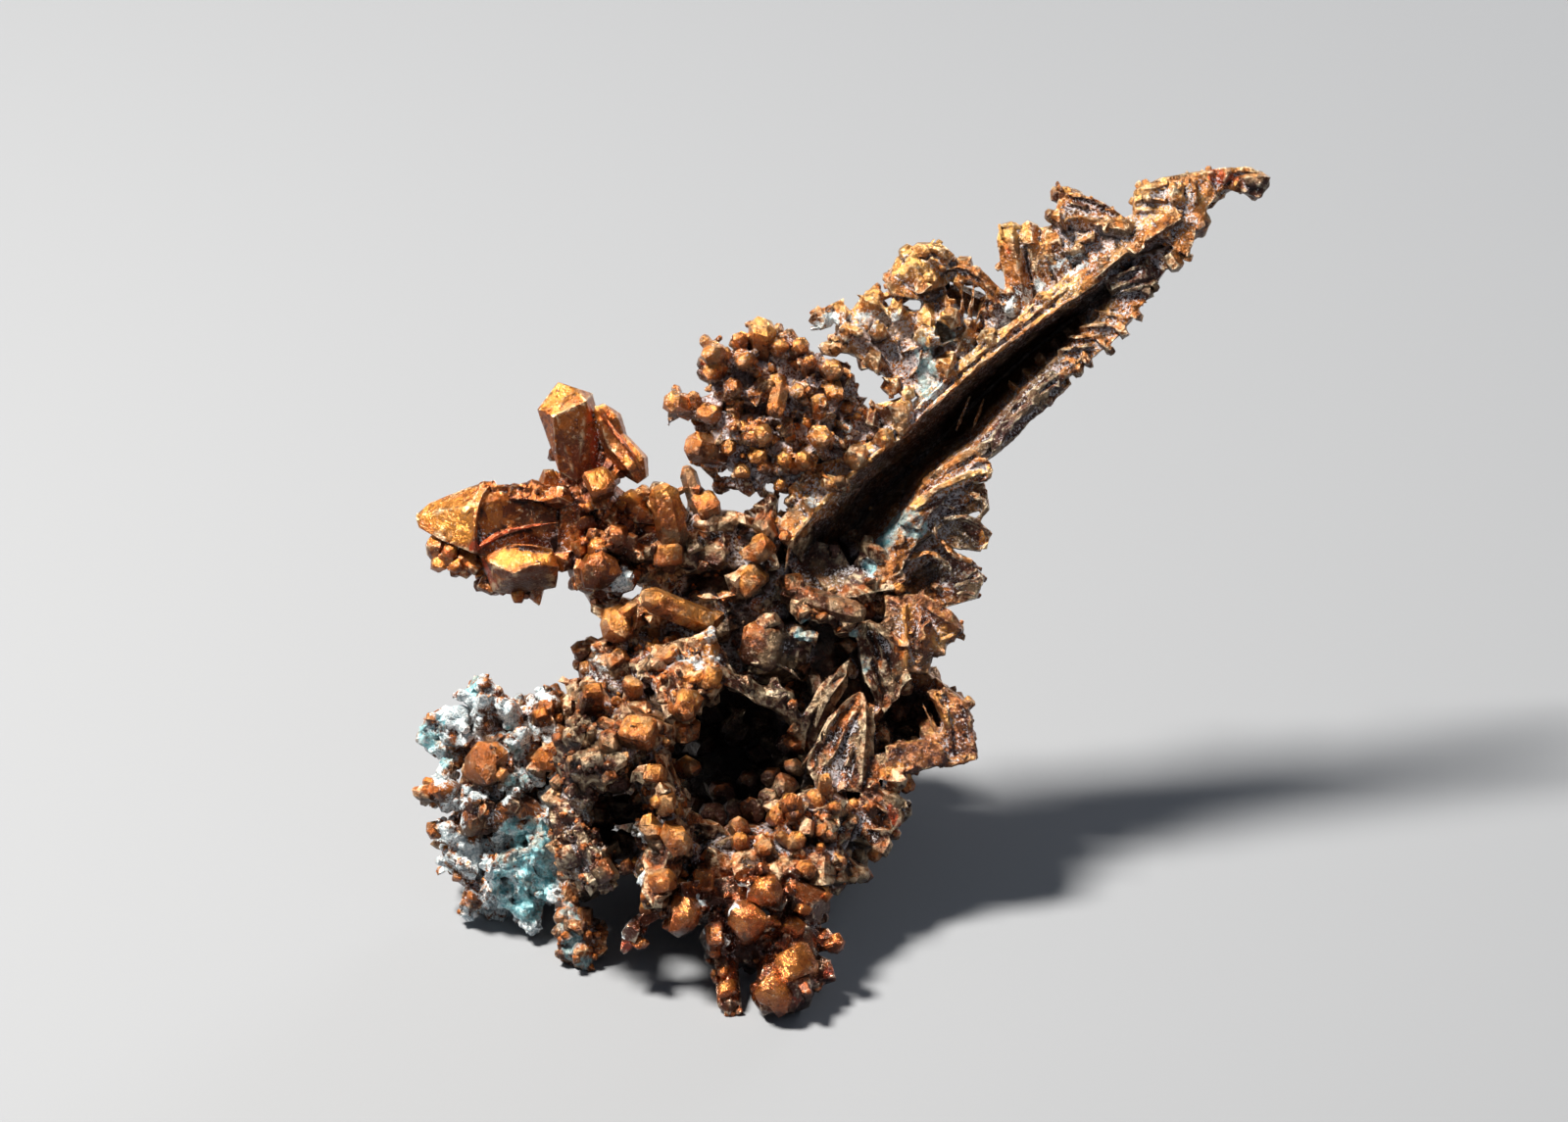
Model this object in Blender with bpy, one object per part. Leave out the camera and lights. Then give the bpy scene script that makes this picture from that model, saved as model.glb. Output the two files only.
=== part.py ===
"""A native copper nugget: crystals grown together into one branching mass.

Places are given in the specimen's own face frame, in millimetres: u runs right, v runs up the
face and w comes out of it. The face leans back by FACE_LEAN, as the nugget stands on its feet.
Each of the seven solids is one branch, grown from tables of crystals, knobs, plates and lumps.
"""

import math
import random

import bmesh
import bpy
from mathutils import Matrix, Vector

MM = 0.001
FACE_LEAN = math.radians(30)  # the face's normal points this far above the horizontal
GROUND = 4.0  # mm along Z from the face frame's origin down to the surface it stands on
FOOTPRINT_CENTRE = (3.67, 9.70)  # mm along X and Y from the face frame's origin to the footprint's middle
FORK_GAP = 0.3  # mm left open where a branch meets what it grows from
FLAT_CUT_MARGIN = 0.000002  # a corner this close to a flat cut, in metres, lies on it
GROUND_BLOCK = 0.3  # metres each way, far larger than the nugget
CRUST_TRIES = 3  # directions tried for each crystal of a crust
CRUST_EDGE = 0.1  # how far past a crust's rim its outermost crystals still stand, 0 to 1
CRUST_ROOT = 0.8  # share of a crust's half-widths at which its crystals start
SEED = 29


# ---- the face frame --------------------------------------------------------------------------


def at(u, v, w=0.0):
    """A point of the face frame, in metres with +Z up."""
    x = u - FOOTPRINT_CENTRE[0]
    y = v * math.sin(FACE_LEAN) - w * math.cos(FACE_LEAN) - FOOTPRINT_CENTRE[1]
    z = v * math.cos(FACE_LEAN) + w * math.sin(FACE_LEAN) - GROUND
    return Vector((x, y, z)) * MM


def facing(u, v, w=0.0):
    """A direction of the face frame as a unit vector with +Z up."""
    return (at(u, v, w) - at(0, 0, 0)).normalized()


# ---- the shapes that everything is grown from --------------------------------------------------


def hull(points):
    """The closed convex solid round some points."""
    bm = bmesh.new()
    for point in points:
        bm.verts.new(point)
    bmesh.ops.convex_hull(bm, input=bm.verts)
    loose = [vert for vert in bm.verts if not vert.link_faces]
    bmesh.ops.delete(bm, geom=loose, context="VERTS")
    bmesh.ops.recalc_face_normals(bm, faces=bm.faces)
    return bm


def faceted(*corners):
    """The closed convex solid round some points of the face frame."""
    return hull([at(*corner) for corner in corners])


def sphere_directions(count):
    """Directions spread evenly over a sphere."""
    turn = math.pi * (3 - math.sqrt(5))
    directions = []
    for i in range(count):
        height = 1 - 2 * (i + 0.5) / count
        ring = math.sqrt(1 - height * height)
        directions.append(Vector((ring * math.cos(turn * i), ring * math.sin(turn * i), height)))
    return directions


def lump(u, v, w, ru, rv, rw, points=24, rough=0.16):
    """A rounded mass with flattened sides, of half-widths ru, rv and rw."""
    rng = random.Random(f"{SEED} {u} {v} {w}")
    corners = []
    for d in sphere_directions(points):
        k = 1 + rng.uniform(-rough, rough)
        corners.append(at(u + ru * k * d.x, v + rv * k * d.y, w + rw * k * d.z))
    return hull(corners)


def knob(u, v, r, w=0.0):
    """A small blunt crystal, about as deep as it is wide."""
    return lump(u, v, w, r, r, r * 1.15, points=10, rough=0.18)


def crystal(start, end, width, depth=None, blunt=0.45, sides=5):
    """A prism from start to end, with an uneven cap of facets on its end."""
    a, b = at(*start), at(*end)
    rng = random.Random(f"{SEED} {start} {end}")
    along = (b - a).normalized()
    across = along.cross(facing(0, 0, 1)).normalized()
    deep = across.cross(along)
    half = width * MM / 2
    flat = (depth or width) / width
    first = rng.uniform(0, math.tau)
    points = []

    def ring(centre, scale, count, wobble):
        for i in range(count):
            angle = first + math.tau * i / count + rng.uniform(-wobble, wobble)
            out = across * math.cos(angle) + deep * math.sin(angle) * flat
            points.append(centre + out * half * scale * rng.uniform(0.9, 1.1))

    length = (b - a).length
    shoulder = min(half * 0.9, length * 0.45)
    ring(a, 0.9, sides, 0.1)
    ring(b - along * shoulder, 1.0, sides, 0.15)
    ring(b, blunt, 3, 0.4)
    return hull(points)


def plate(outline, front, back):
    """A slab with an outline of (u, v) points, or of (u, v, shift) where its face steps."""
    bm = bmesh.new()
    rims = []
    for side in (front, back):
        rims.append([bm.verts.new(at(p[0], p[1], side + (p[2] if len(p) > 2 else 0))) for p in outline])
    top, bottom = rims
    count = len(outline)
    bm.faces.new(top)
    bm.faces.new(bottom[::-1])
    for i in range(count):
        j = (i + 1) % count
        bm.faces.new((top[j], top[i], bottom[i], bottom[j]))
    bmesh.ops.triangulate(bm, faces=bm.faces)
    bmesh.ops.recalc_face_normals(bm, faces=bm.faces)
    return bm


def loft(sections):
    """A solid through sections that all have the same number of face-frame points."""
    bm = bmesh.new()
    rings = [[bm.verts.new(at(*p)) for p in section] for section in sections]
    count = len(rings[0])
    for low, high in zip(rings, rings[1:]):
        for i in range(count):
            j = (i + 1) % count
            bm.faces.new((low[i], low[j], high[j], high[i]))
    bm.faces.new(rings[0][::-1])
    bm.faces.new(rings[-1])
    bmesh.ops.triangulate(bm, faces=bm.faces)
    bmesh.ops.recalc_face_normals(bm, faces=bm.faces)
    return bm


def twig(path, width, sides=4):
    """A thin bent stalk through face-frame points."""
    rings = []
    for i, point in enumerate(path):
        before = Vector(path[max(i - 1, 0)])
        after = Vector(path[min(i + 1, len(path) - 1)])
        along = (after - before).normalized()
        across = along.cross(Vector((0, 0, 1))).normalized()
        deep = across.cross(along)
        ring = []
        for k in range(sides):
            angle = math.tau * (k + 0.5) / sides
            ring.append(Vector(point) + (across * math.cos(angle) + deep * math.sin(angle)) * width / 2)
        rings.append(ring)
    return loft(rings)


def crust(centre, radii, count, size, toward):
    """Crystals over the side of an ellipsoid that faces toward, for sides that are all small crystals."""
    rng = random.Random(f"{SEED} {centre}")
    side = Vector(toward).normalized()
    grown = []
    for d in sphere_directions(count * CRUST_TRIES):
        if d.dot(side) < CRUST_EDGE or len(grown) == count:
            continue
        root = [centre[i] + radii[i] * d[i] * CRUST_ROOT for i in range(3)]
        place = [centre[i] + radii[i] * d[i] for i in range(3)]
        end = [place[i] + d[i] * size * rng.uniform(0.7, 1.4) for i in range(3)]
        grown.append(crystal(root, end, size * rng.uniform(1.0, 1.7)))
    return grown


def each(maker, rows):
    """One shape from each row of settings."""
    return [maker(*row) for row in rows]


# ---- the spire: a long trough with a lit ridge, lobes and prisms on its left ------------------

# One row for each station up the trough: the ridge's lower edge, the rim's inner edge, the rim's
# outer edge, all u and v, and how deep the channel between them is.
TROUGH = [
    ((0.3, 29.4), (2.6, 26.9), (3.0, 26.0), 2.2),
    ((1.5, 31.2), (5.6, 27.6), (6.6, 26.6), 5.0),
    ((3.3, 33.1), (7.4, 30.6), (8.6, 30.0), 6.0),
    ((5.2, 34.9), (8.9, 33.8), (10.0, 33.2), 6.0),
    ((7.6, 36.6), (12.6, 36.4), (13.6, 35.5), 5.6),
    ((10.4, 39.3), (14.6, 38.8), (15.9, 38.3), 5.0),
    ((14.0, 42.2), (17.4, 41.6), (18.5, 40.6), 4.0),
    ((18.0, 45.0), (19.9, 43.9), (21.4, 43.0), 2.8),
    ((22.0, 48.4), (23.2, 47.4), (24.2, 46.9), 1.4),
    ((25.4, 50.4), (25.7, 49.9), (25.9, 49.4), 0.5),
]
RIDGE_WIDTH = 1.4
RIDGE_FRONT = 1.2  # w of the ridge's lit edge
RIDGE_SHOULDER = 0.8  # w of the ridge's far edge
RIDGE_BACK = -2.0
RIM_INNER = 0.2
RIM_OUTER = 0.4
RIM_BACK = -1.2
WALL = 1.5
RIM_TEETH_FROM = 5  # the row of TROUGH at which the rim's comb of teeth starts
RIM_TEETH_SHARES = (0.05, 0.36, 0.7)

RIDGE_KNOBS = [
    (0.7, 30.5, 0.9, 0.9),
    (1.6, 32.2, 0.8, 0.9),
    (2.9, 33.4, 0.8, 0.9),
    (4.6, 35.2, 1.0, 1.1),
    (6.4, 36.4, 0.9, 1.1),
    (7.4, 37.8, 1.3, 0.9),
    (10.2, 41.0, 1.1, 0.8),
    (13.0, 42.8, 0.8, 0.8),
    (16.6, 45.2, 0.8, 0.6),
]
UPPER_LOBE_PLATE = [(2.9, 42.3), (4.1, 44.6), (6.5, 44.8), (9.2, 44.6), (12.4, 43.0), (11.4, 40.8),
                    (8.8, 39.0), (7.2, 39.6), (5.5, 41.2)]
UPPER_LOBE_KNOBS = [
    (2.4, 44.0, 0.9, 0.5),
    (3.6, 44.4, 0.9, 0.2),
    (3.9, 43.1, 0.7, 1.0),
    (5.5, 44.9, 1.1, 0.3),
    (7.1, 44.5, 0.8, 0.7),
    (6.0, 43.2, 0.8, 1.2),
    (5.8, 41.4, 0.9, 1.0),
    (6.9, 39.8, 0.8, 0.7),
    (9.2, 42.9, 1.1, 1.2),
    (10.6, 44.0, 0.9, 1.4),
    (11.4, 47.3, 0.9, 0.2),
]
TOP_LUMP = [(6.5, 46.2), (7.2, 48.0), (8.5, 48.9), (9.8, 48.9), (10.9, 48.1), (9.8, 46.4), (8.3, 45.2),
            (6.8, 45.5)]
TIP_FEATHER = [(22.3, 50.0), (22.3, 52.2), (24.0, 53.0), (27.3, 53.5), (27.1, 51.3), (26.3, 49.9),
               (25.8, 47.9), (24.6, 48.8)]
TIP_HOOK = [(26.2, 53.2), (27.4, 53.6), (29.8, 53.7), (31.0, 52.6), (30.3, 51.7), (28.3, 52.4), (26.4, 51.0)]
SPIRE_CRYSTALS = [
    ((3.4, 41.9, 0.0), (2.2, 42.4, 0.6), 1.3),
    ((9.0, 41.2, 0.2), (9.2, 45.2, 0.9), 2.0),
    ((11.0, 41.5, -0.2), (11.9, 43.9, 0.8), 2.0),
    ((13.6, 42.6, -0.8), (12.9, 45.4, 0.2), 1.8),
    ((14.8, 43.6, -0.6), (14.3, 46.0, 0.6), 1.5),
    ((15.4, 44.2, -0.4), (14.3, 50.2, 0.2), 2.0),
    ((16.9, 44.8, -0.4), (15.9, 49.3, 0.5), 1.5),
    ((18.3, 45.6, -0.4), (16.7, 49.9, 0.3), 1.9),
    ((19.6, 46.6, -0.4), (18.4, 49.4, 0.4), 1.6),
    ((22.0, 47.0, -1.6), (20.8, 46.0, 0.4), 2.2),
    ((23.6, 48.2, -1.4), (22.6, 46.4, 0.6), 2.2),
    ((25.0, 49.2, -1.0), (24.9, 47.6, 0.4), 1.6),
    ((20.6, 43.9, -1.8), (22.3, 44.2, -1.0), 1.4),
    ((26.2, 49.4, -0.5), (26.7, 51.0, 0.6), 1.5),
    ((25.0, 50.0, -0.5), (24.7, 52.6, 0.9), 1.6),
    ((28.0, 52.3, -0.4), (28.3, 53.6, 0.8), 1.2),
    ((17.2, 50.6, 0.6), (22.4, 49.6, 0.9), 1.3),
    ((27.0, 52.6, 0.0), (31.0, 52.9, 0.4), 1.3),
]
ROOF_PRISM = [(17.5, 52.0), (18.8, 52.1), (21.0, 51.0), (22.1, 50.1), (21.4, 48.6), (19.2, 47.4),
              (17.4, 49.4)]
SIDE_FINS = [
    [(7.2, 31.0), (8.2, 32.4), (10.6, 34.4), (12.9, 35.1), (13.2, 34.2), (10.6, 32.9), (8.6, 30.6)],
    [(8.0, 30.6), (10.8, 33.2), (12.8, 33.6), (13.1, 32.0), (11.0, 31.4), (8.4, 29.6)],
    [(7.4, 29.6), (10.0, 31.4), (12.4, 31.1), (13.1, 30.0), (12.5, 29.2), (10.2, 29.6), (7.8, 28.6)],
    [(6.2, 28.2), (9.2, 30.0), (12.0, 28.6), (12.8, 27.4), (12.3, 26.2), (8.6, 26.4), (6.0, 26.8)],
]


SPIRE_PLATES = [
    (UPPER_LOBE_PLATE, 0.7, -1.6),
    (TOP_LUMP, 1.2, -1.2),
    (ROOF_PRISM, 0.8, -1.0),
    (TIP_FEATHER, 0.7, -0.95),
    (TIP_HOOK, 0.5, -0.7),
    (SIDE_FINS[0], 0.6, -0.9),
    (SIDE_FINS[1], 0.1, -1.4),
    (SIDE_FINS[2], -0.4, -1.9),
    (SIDE_FINS[3], -0.9, -2.4),
]
SPIRE_LUMPS = [
    (8.8, 46.9, -0.1, 1.9, 1.8, 2.2),
    (7.4, 29.4, -3.2, 1.9, 3.2, 2.6),
]
# The bridge from the top lump down to the prisms, its short stem, and two strands along the rim.
SPIRE_TWIGS = [
    ([(10.0, 46.7, -0.2), (12.2, 46.9, 0.4), (13.7, 45.4, 0.3), (14.4, 43.6, -0.6)], 1.5),
    ([(9.6, 46.0, -0.4), (9.4, 43.6, -0.4)], 2.2),
    ([(9.0, 33.4, 0.2), (10.6, 34.8, 0.5), (13.2, 36.2, 0.5), (14.9, 38.4, 0.5), (17.3, 40.6, 0.4)], 0.7),
    ([(9.7, 32.8, -0.4), (11.6, 34.4, 0.0), (13.9, 35.9, 0.0), (15.9, 38.0, 0.1), (18.2, 40.1, 0.1)], 0.7),
]


def trough_section(station):
    """Eight points round the trough: ridge, back keel, rim and channel floor."""
    ridge, inner, outer, depth = station
    ru, rv = ridge
    iu, iv = inner
    ou, ov = outer
    across = Vector((iu - ru, iv - rv)).normalized()
    lu, lv = ru - across.x * RIDGE_WIDTH, rv - across.y * RIDGE_WIDTH
    mu, mv = (ru + iu) / 2, (rv + iv) / 2
    return [
        (ru, rv, RIDGE_FRONT),
        (mu, mv, RIDGE_FRONT - depth),
        (iu, iv, RIM_INNER),
        (ou, ov, RIM_OUTER),
        (ou, ov, RIM_BACK),
        (mu, mv, RIDGE_FRONT - depth - WALL),
        (lu, lv, RIDGE_BACK),
        (lu, lv, RIDGE_SHOULDER),
    ]


def rim_teeth():
    """Thin slanted crystals that cross the upper part of the trough's right rim."""
    rng = random.Random(f"{SEED} rim")
    teeth = []
    for low, high in zip(TROUGH[RIM_TEETH_FROM:], TROUGH[RIM_TEETH_FROM + 1:-1]):
        for share in RIM_TEETH_SHARES:
            inner = [low[1][i] + (high[1][i] - low[1][i]) * share for i in range(2)]
            outer = [low[2][i] + (high[2][i] - low[2][i]) * share for i in range(2)]
            root = (inner[0] - 0.2, inner[1] + 0.9, -1.2)
            end = (outer[0] + rng.uniform(0.0, 0.5), outer[1] - rng.uniform(0.1, 0.7), 0.6)
            teeth.append(crystal(root, end, rng.uniform(0.6, 1.0), 1.3, 0.5, 4))
    return teeth


def spire():
    grown = [loft([trough_section(station) for station in TROUGH])] + rim_teeth()
    grown += each(plate, SPIRE_PLATES) + each(lump, SPIRE_LUMPS) + each(twig, SPIRE_TWIGS)
    return grown + each(knob, RIDGE_KNOBS + UPPER_LOBE_KNOBS) + each(crystal, SPIRE_CRYSTALS)


# ---- the knob fan: a spray of rounded crystals on the ridge's left ------------------------------

FAN_PLATE = [(-4.6, 36.2), (-4.4, 38.6), (-4.2, 41.4), (-1.6, 42.4), (1.4, 41.2), (3.6, 40.6), (4.6, 39.2),
             (3.9, 38.3), (5.0, 36.6), (2.8, 34.0), (0.6, 33.4), (-2.4, 33.8), (-3.6, 34.6)]
FAN_KNOBS = [
    (-6.6, 38.4, 0.9, 0.3),
    (-5.5, 38.3, 0.8, 0.1),
    (-4.4, 38.2, 0.9, 0.6),
    (-4.7, 40.7, 1.0, 0.4),
    (-4.3, 41.8, 0.9, 0.2),
    (-4.7, 42.4, 0.45, 0.3),
    (-2.8, 42.4, 0.5, 0.5),
    (-2.5, 41.4, 0.9, 1.0),
    (-1.3, 43.0, 1.0, 0.3),
    (0.3, 42.2, 0.9, 0.4),
    (1.5, 41.4, 0.8, 0.3),
    (-0.5, 40.3, 0.8, 1.4),
    (-1.8, 39.1, 0.9, 1.2),
    (-3.2, 39.6, 0.8, 1.0),
    (1.0, 39.2, 0.8, 1.3),
    (2.9, 40.9, 0.7, 0.6),
    (4.0, 40.3, 0.7, 0.5),
    (3.5, 39.2, 0.7, 1.0),
    (-3.5, 36.9, 0.8, 1.2),
    (-1.6, 36.9, 0.8, 1.4),
    (0.2, 37.1, 0.8, 1.2),
    (2.4, 36.3, 1.0, 1.3),
    (1.3, 35.0, 0.7, 1.2),
    (-0.2, 35.0, 0.7, 1.1),
    (-2.7, 34.5, 0.7, 0.7),
    (2.2, 37.9, 0.8, 1.0),
]
FAN_CRYSTALS = [
    ((-2.4, 36.0, -0.4), (-5.4, 35.3, 0.7), 2.3),
    ((-0.3, 37.6, 0.4), (-0.3, 39.4, 2.0), 1.2),
    ((-1.4, 35.4, 0.4), (-1.5, 37.2, 1.7), 1.2),
    ((4.0, 39.2, 0.3), (5.6, 37.0, 0.4), 1.0),
    ((0.2, 33.6, 0.2), (-0.4, 32.8, 0.6), 0.8),
    ((-1.0, 33.9, 0.0), (-4.2, 33.5, 0.2), 1.2),
]


FAN_BACK = ((0.0, 38.0, -0.8), (4.2, 4.0, 0.9), 10, 1.1, (0, 0, -1))


def knob_fan():
    grown = [plate(FAN_PLATE, 0.6, -1.4)] + each(knob, FAN_KNOBS) + each(crystal, FAN_CRYSTALS)
    return grown + crust(*FAN_BACK)


# ---- the crystal arm: the three largest crystals on a stalk of smaller ones ---------------------

END_LOBE = [
    (-23.5, 31.5, 0.2), (-22.6, 32.3, -0.2), (-20.8, 32.5, 0.6), (-18.9, 33.6, 0.9), (-19.7, 32.2, 2.45),
    (-19.7, 29.3, 2.5), (-21.8, 29.9, 1.4), (-23.3, 30.7, 0.4), (-22.6, 31.4, -2.2), (-18.4, 32.7, -2.1),
    (-18.6, 29.6, -1.8),
]
END_BLOCK = [
    (-19.2, 33.7, 1.0), (-19.9, 32.2, 2.4), (-19.9, 29.0, 2.4), (-17.0, 33.3, 0.3), (-14.1, 32.6, 0.2),
    (-14.1, 28.6, 0.4), (-16.0, 28.6, 0.9), (-19.0, 32.8, -2.4), (-14.6, 32.0, -2.6), (-14.6, 29.4, -2.2),
    (-19.4, 29.4, -2.0),
]
END_LEDGE = [
    (-18.4, 33.3, 0.9), (-17.3, 33.5, 1.0), (-16.0, 33.7, 0.9), (-14.8, 33.4, 1.0), (-14.0, 32.8, 1.2),
    (-14.2, 32.2, 1.6), (-17.5, 32.6, 1.5), (-17.0, 33.0, -1.6), (-14.4, 32.6, -1.6),
]
LOWER_CRYSTAL = [
    (-19.4, 28.8, 1.6), (-18.5, 26.6, 1.4), (-17.6, 29.6, 2.2), (-14.7, 29.3, 2.0), (-14.3, 28.2, 2.2),
    (-14.5, 26.9, 1.2), (-16.5, 26.3, 0.6), (-17.2, 27.8, 3.1), (-15.0, 28.2, 3.0), (-18.6, 28.4, 2.6),
    (-19.0, 28.0, -0.8), (-15.0, 27.6, -1.2), (-17.0, 29.6, -1.0),
]
THUMB_CRYSTAL = [
    (-15.7, 38.4, 0.6), (-14.4, 40.0, 0.2), (-13.2, 39.6, 0.6), (-14.7, 37.8, 1.9), (-15.4, 37.0, 0.8),
    (-12.2, 39.3, -0.4), (-13.0, 38.0, 1.5), (-14.3, 34.2, 1.2), (-13.2, 33.6, 1.3), (-11.9, 34.6, 0.6),
    (-11.6, 37.2, 0.2), (-15.0, 38.0, -1.2), (-13.2, 39.2, -1.5), (-12.4, 36.0, -1.6), (-14.2, 34.6, -1.2),
]
ARM_HULLS = [END_LOBE, END_BLOCK, END_LEDGE, LOWER_CRYSTAL, THUMB_CRYSTAL]
ARM_CRYSTALS = [
    ((-10.2, 34.4, 0.2), (-11.6, 38.6, 0.6), 2.2),
    ((-10.8, 36.2, 0.6), (-8.9, 33.8, 0.8), 2.3),
    ((-12.6, 32.4, 0.4), (-10.8, 34.0, 1.6), 2.3),
    ((-13.4, 29.2, 0.2), (-13.1, 33.4, 0.6), 2.2),
    ((-12.2, 29.4, 0.6), (-9.9, 30.1, 1.9), 2.2),
    ((-12.0, 29.0, 0.6), (-12.6, 26.6, 1.6), 2.8),
    ((-14.8, 33.2, -0.8), (-15.2, 34.4, -0.2), 1.4),
    ((-13.2, 31.0, -0.6), (-14.9, 31.2, -0.6), 2.4),
    ((-20.0, 29.4, 0.4), (-20.4, 27.6, 1.0), 2.0),
    ((-22.0, 30.0, 0.2), (-22.4, 28.8, 0.6), 1.5),
    ((-18.6, 28.0, 0.0), (-19.2, 26.8, 0.2), 1.4),
    ((-16.0, 27.2, 0.6), (-15.6, 25.8, 0.8), 1.3),
]
ARM_KNOBS = [
    (-10.3, 27.4, 1.5, 0.6),
    (-9.6, 32.0, 1.1, 0.7),
    (-11.2, 31.6, 1.0, 1.0),
    (-21.4, 28.7, 0.7, 0.8),
    (-9.4, 29.0, 0.9, 1.3),
    (-14.2, 28.6, 0.9, 0.4),
]


ARM_LUMPS = [
    (-11.4, 30.6, -0.8, 2.9, 3.4, 1.9),
    (-12.4, 34.6, -0.6, 1.8, 2.2, 1.3),
    (-17.0, 29.8, -1.0, 3.6, 1.7, 1.6),
]
ARM_BACK = ((-11.4, 31.0, -1.4), (3.2, 4.0, 1.6), 8, 1.5, (0, 0, -1))


def crystal_arm():
    grown = each(faceted, ARM_HULLS) + each(lump, ARM_LUMPS)
    return grown + each(crystal, ARM_CRYSTALS) + each(knob, ARM_KNOBS) + crust(*ARM_BACK)


# ---- the crusted lobe: crumbs and knobs round hollows, on the left ------------------------------

LOBE_LUMPS = [
    (-18.2, 12.2, -0.6, 2.7, 2.2, 3.0),
    (-16.6, 9.0, -0.4, 2.4, 2.2, 2.6),
    (-17.6, 16.6, -1.2, 3.2, 2.6, 2.6),
    (-20.2, 9.6, -0.6, 1.3, 1.9, 1.6),
    (-15.2, 18.2, -1.4, 1.8, 2.2, 2.6),
    (-15.0, 13.4, -1.6, 1.6, 3.4, 2.6),
]
LOBE_KNOBS = [
    (-21.9, 18.5, 0.9, 0.0),
    (-22.5, 17.6, 0.7, 0.2),
    (-22.0, 16.6, 0.9, 0.0),
    (-20.9, 18.0, 1.3, 0.2),
    (-21.3, 15.6, 0.8, 0.2),
    (-22.9, 13.6, 0.9, 0.6),
    (-21.8, 14.1, 0.9, 0.3),
    (-20.6, 13.2, 1.1, 0.4),
    (-17.5, 14.6, 1.0, 1.6),
    (-18.9, 14.3, 0.8, 1.4),
    (-17.4, 18.8, 1.0, 0.6),
    (-16.9, 17.4, 1.0, 1.6),
    (-21.3, 11.4, 0.8, 0.2),
    (-21.0, 9.6, 0.9, 0.2),
    (-20.2, 8.4, 0.8, 0.3),
    (-19.1, 7.4, 0.9, 0.4),
    (-17.9, 7.2, 0.8, 0.6),
    (-16.8, 6.4, 1.0, 0.6),
    (-16.0, 5.6, 0.9, 0.9),
    (-18.6, 9.0, 0.9, 1.6),
    (-16.0, 10.2, 1.1, 2.2),
    (-15.2, 8.2, 1.0, 1.6),
    (-19.4, 12.9, 1.0, 2.0),
    (-17.2, 13.2, 1.0, 2.2),
]
LOBE_CRYSTALS = [
    ((-19.0, 17.4, 0.2), (-19.5, 21.0, 0.5), 2.2),
    ((-20.3, 13.9, 1.4), (-18.6, 16.8, 1.8), 1.8),
    ((-15.9, 14.8, 0.6), (-15.2, 16.8, 1.6), 1.9),
    ((-15.2, 17.6, 0.4), (-15.5, 19.6, 0.8), 1.6),
    ((-15.9, 10.6, 0.6), (-15.4, 12.4, 2.4), 1.7),
    ((-14.2, 8.4, 1.8), (-13.4, 5.2, 3.0), 1.5),
    ((-13.4, 5.8, 2.6), (-12.8, 2.6, 3.4), 2.3),
]


LOBE_BACK = ((-17.4, 13.0, -2.0), (3.6, 6.4, 2.0), 15, 1.6, (-0.3, 0, -1))
LOBE_SIDE = ((-18.6, 12.0, -1.0), (2.8, 5.6, 1.6), 7, 1.2, (-1, -0.6, 0))


def crusted_lobe():
    grown = each(lump, LOBE_LUMPS) + each(knob, LOBE_KNOBS) + each(crystal, LOBE_CRYSTALS)
    return grown + crust(*LOBE_BACK) + crust(*LOBE_SIDE)


# ---- the side wing: a torn, folded sheet on the right -------------------------------------------

WING_FAN = [(7.0, 26.4), (8.9, 26.5), (10.2, 25.4), (11.5, 24.1), (10.4, 23.4), (10.2, 22.6), (9.3, 22.4),
            (9.2, 21.4), (7.6, 21.4), (6.6, 23.4)]
WING_SHEET = [(9.3, 20.4), (10.9, 20.1), (11.8, 19.4), (11.9, 18.0), (12.4, 16.1), (11.4, 15.6),
              (10.0, 15.4), (9.6, 17.0), (10.2, 18.2)]
WING_LEDGE = [(5.2, 14.6), (5.4, 16.2), (8.6, 17.2), (10.0, 17.0), (10.4, 15.8), (8.6, 15.2), (7.2, 14.7)]
WING_BACK = [(5.4, 22.4), (9.2, 21.4), (11.2, 19.8), (11.4, 16.6), (9.8, 15.8), (5.2, 15.4)]


WING_EDGE = [(9.6, 21.2), (11.8, 19.6), (12.0, 16.0), (10.6, 15.6)]
WING_PLATES = [
    (WING_FAN, 0.3, -1.2),
    (WING_SHEET, 0.9, -1.2),
    (WING_LEDGE, 1.6, -2.4),
    (WING_BACK, -2.8, -4.6),
    (WING_EDGE, -0.6, -3.4),
]
WING_TWIGS = [
    ([(7.8, 21.6, 0.2), (7.8, 25.6, 0.4)], 0.8),
    ([(9.3, 20.3, 0.8), (10.2, 18.9, 1.2), (10.5, 17.9, 1.0)], 0.7),
    ([(7.2, 21.4, -0.6), (7.8, 20.4, -3.0), (7.6, 18.4, -3.4)], 1.4),
]
WING_CRYSTALS = [
    ((8.6, 22.0, -0.4), (9.2, 24.6, 1.1), 1.6),
    ((9.0, 25.6, -0.4), (11.2, 24.2, 0.6), 1.5),
    ((9.4, 23.4, -0.4), (10.2, 22.7, 0.8), 1.2),
    ((9.0, 18.6, -1.6), (9.6, 16.6, 0.8), 1.4),
]
WING_KNOBS = [
    (6.4, 16.7, 0.7, 1.2),
    (7.7, 19.2, 0.9, -2.6),
    (8.8, 19.1, 0.8, -2.6),
]
WING_CRUST = ((8.8, 18.6, -4.0), (1.8, 2.2, 0.8), 5, 1.3, (0, 0, -1))


def side_wing():
    grown = each(plate, WING_PLATES) + each(twig, WING_TWIGS) + each(knob, WING_KNOBS)
    return grown + each(crystal, WING_CRYSTALS) + crust(*WING_CRUST)


# ---- the front foot: large bright crystals it stands on ------------------------------------------

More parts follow.
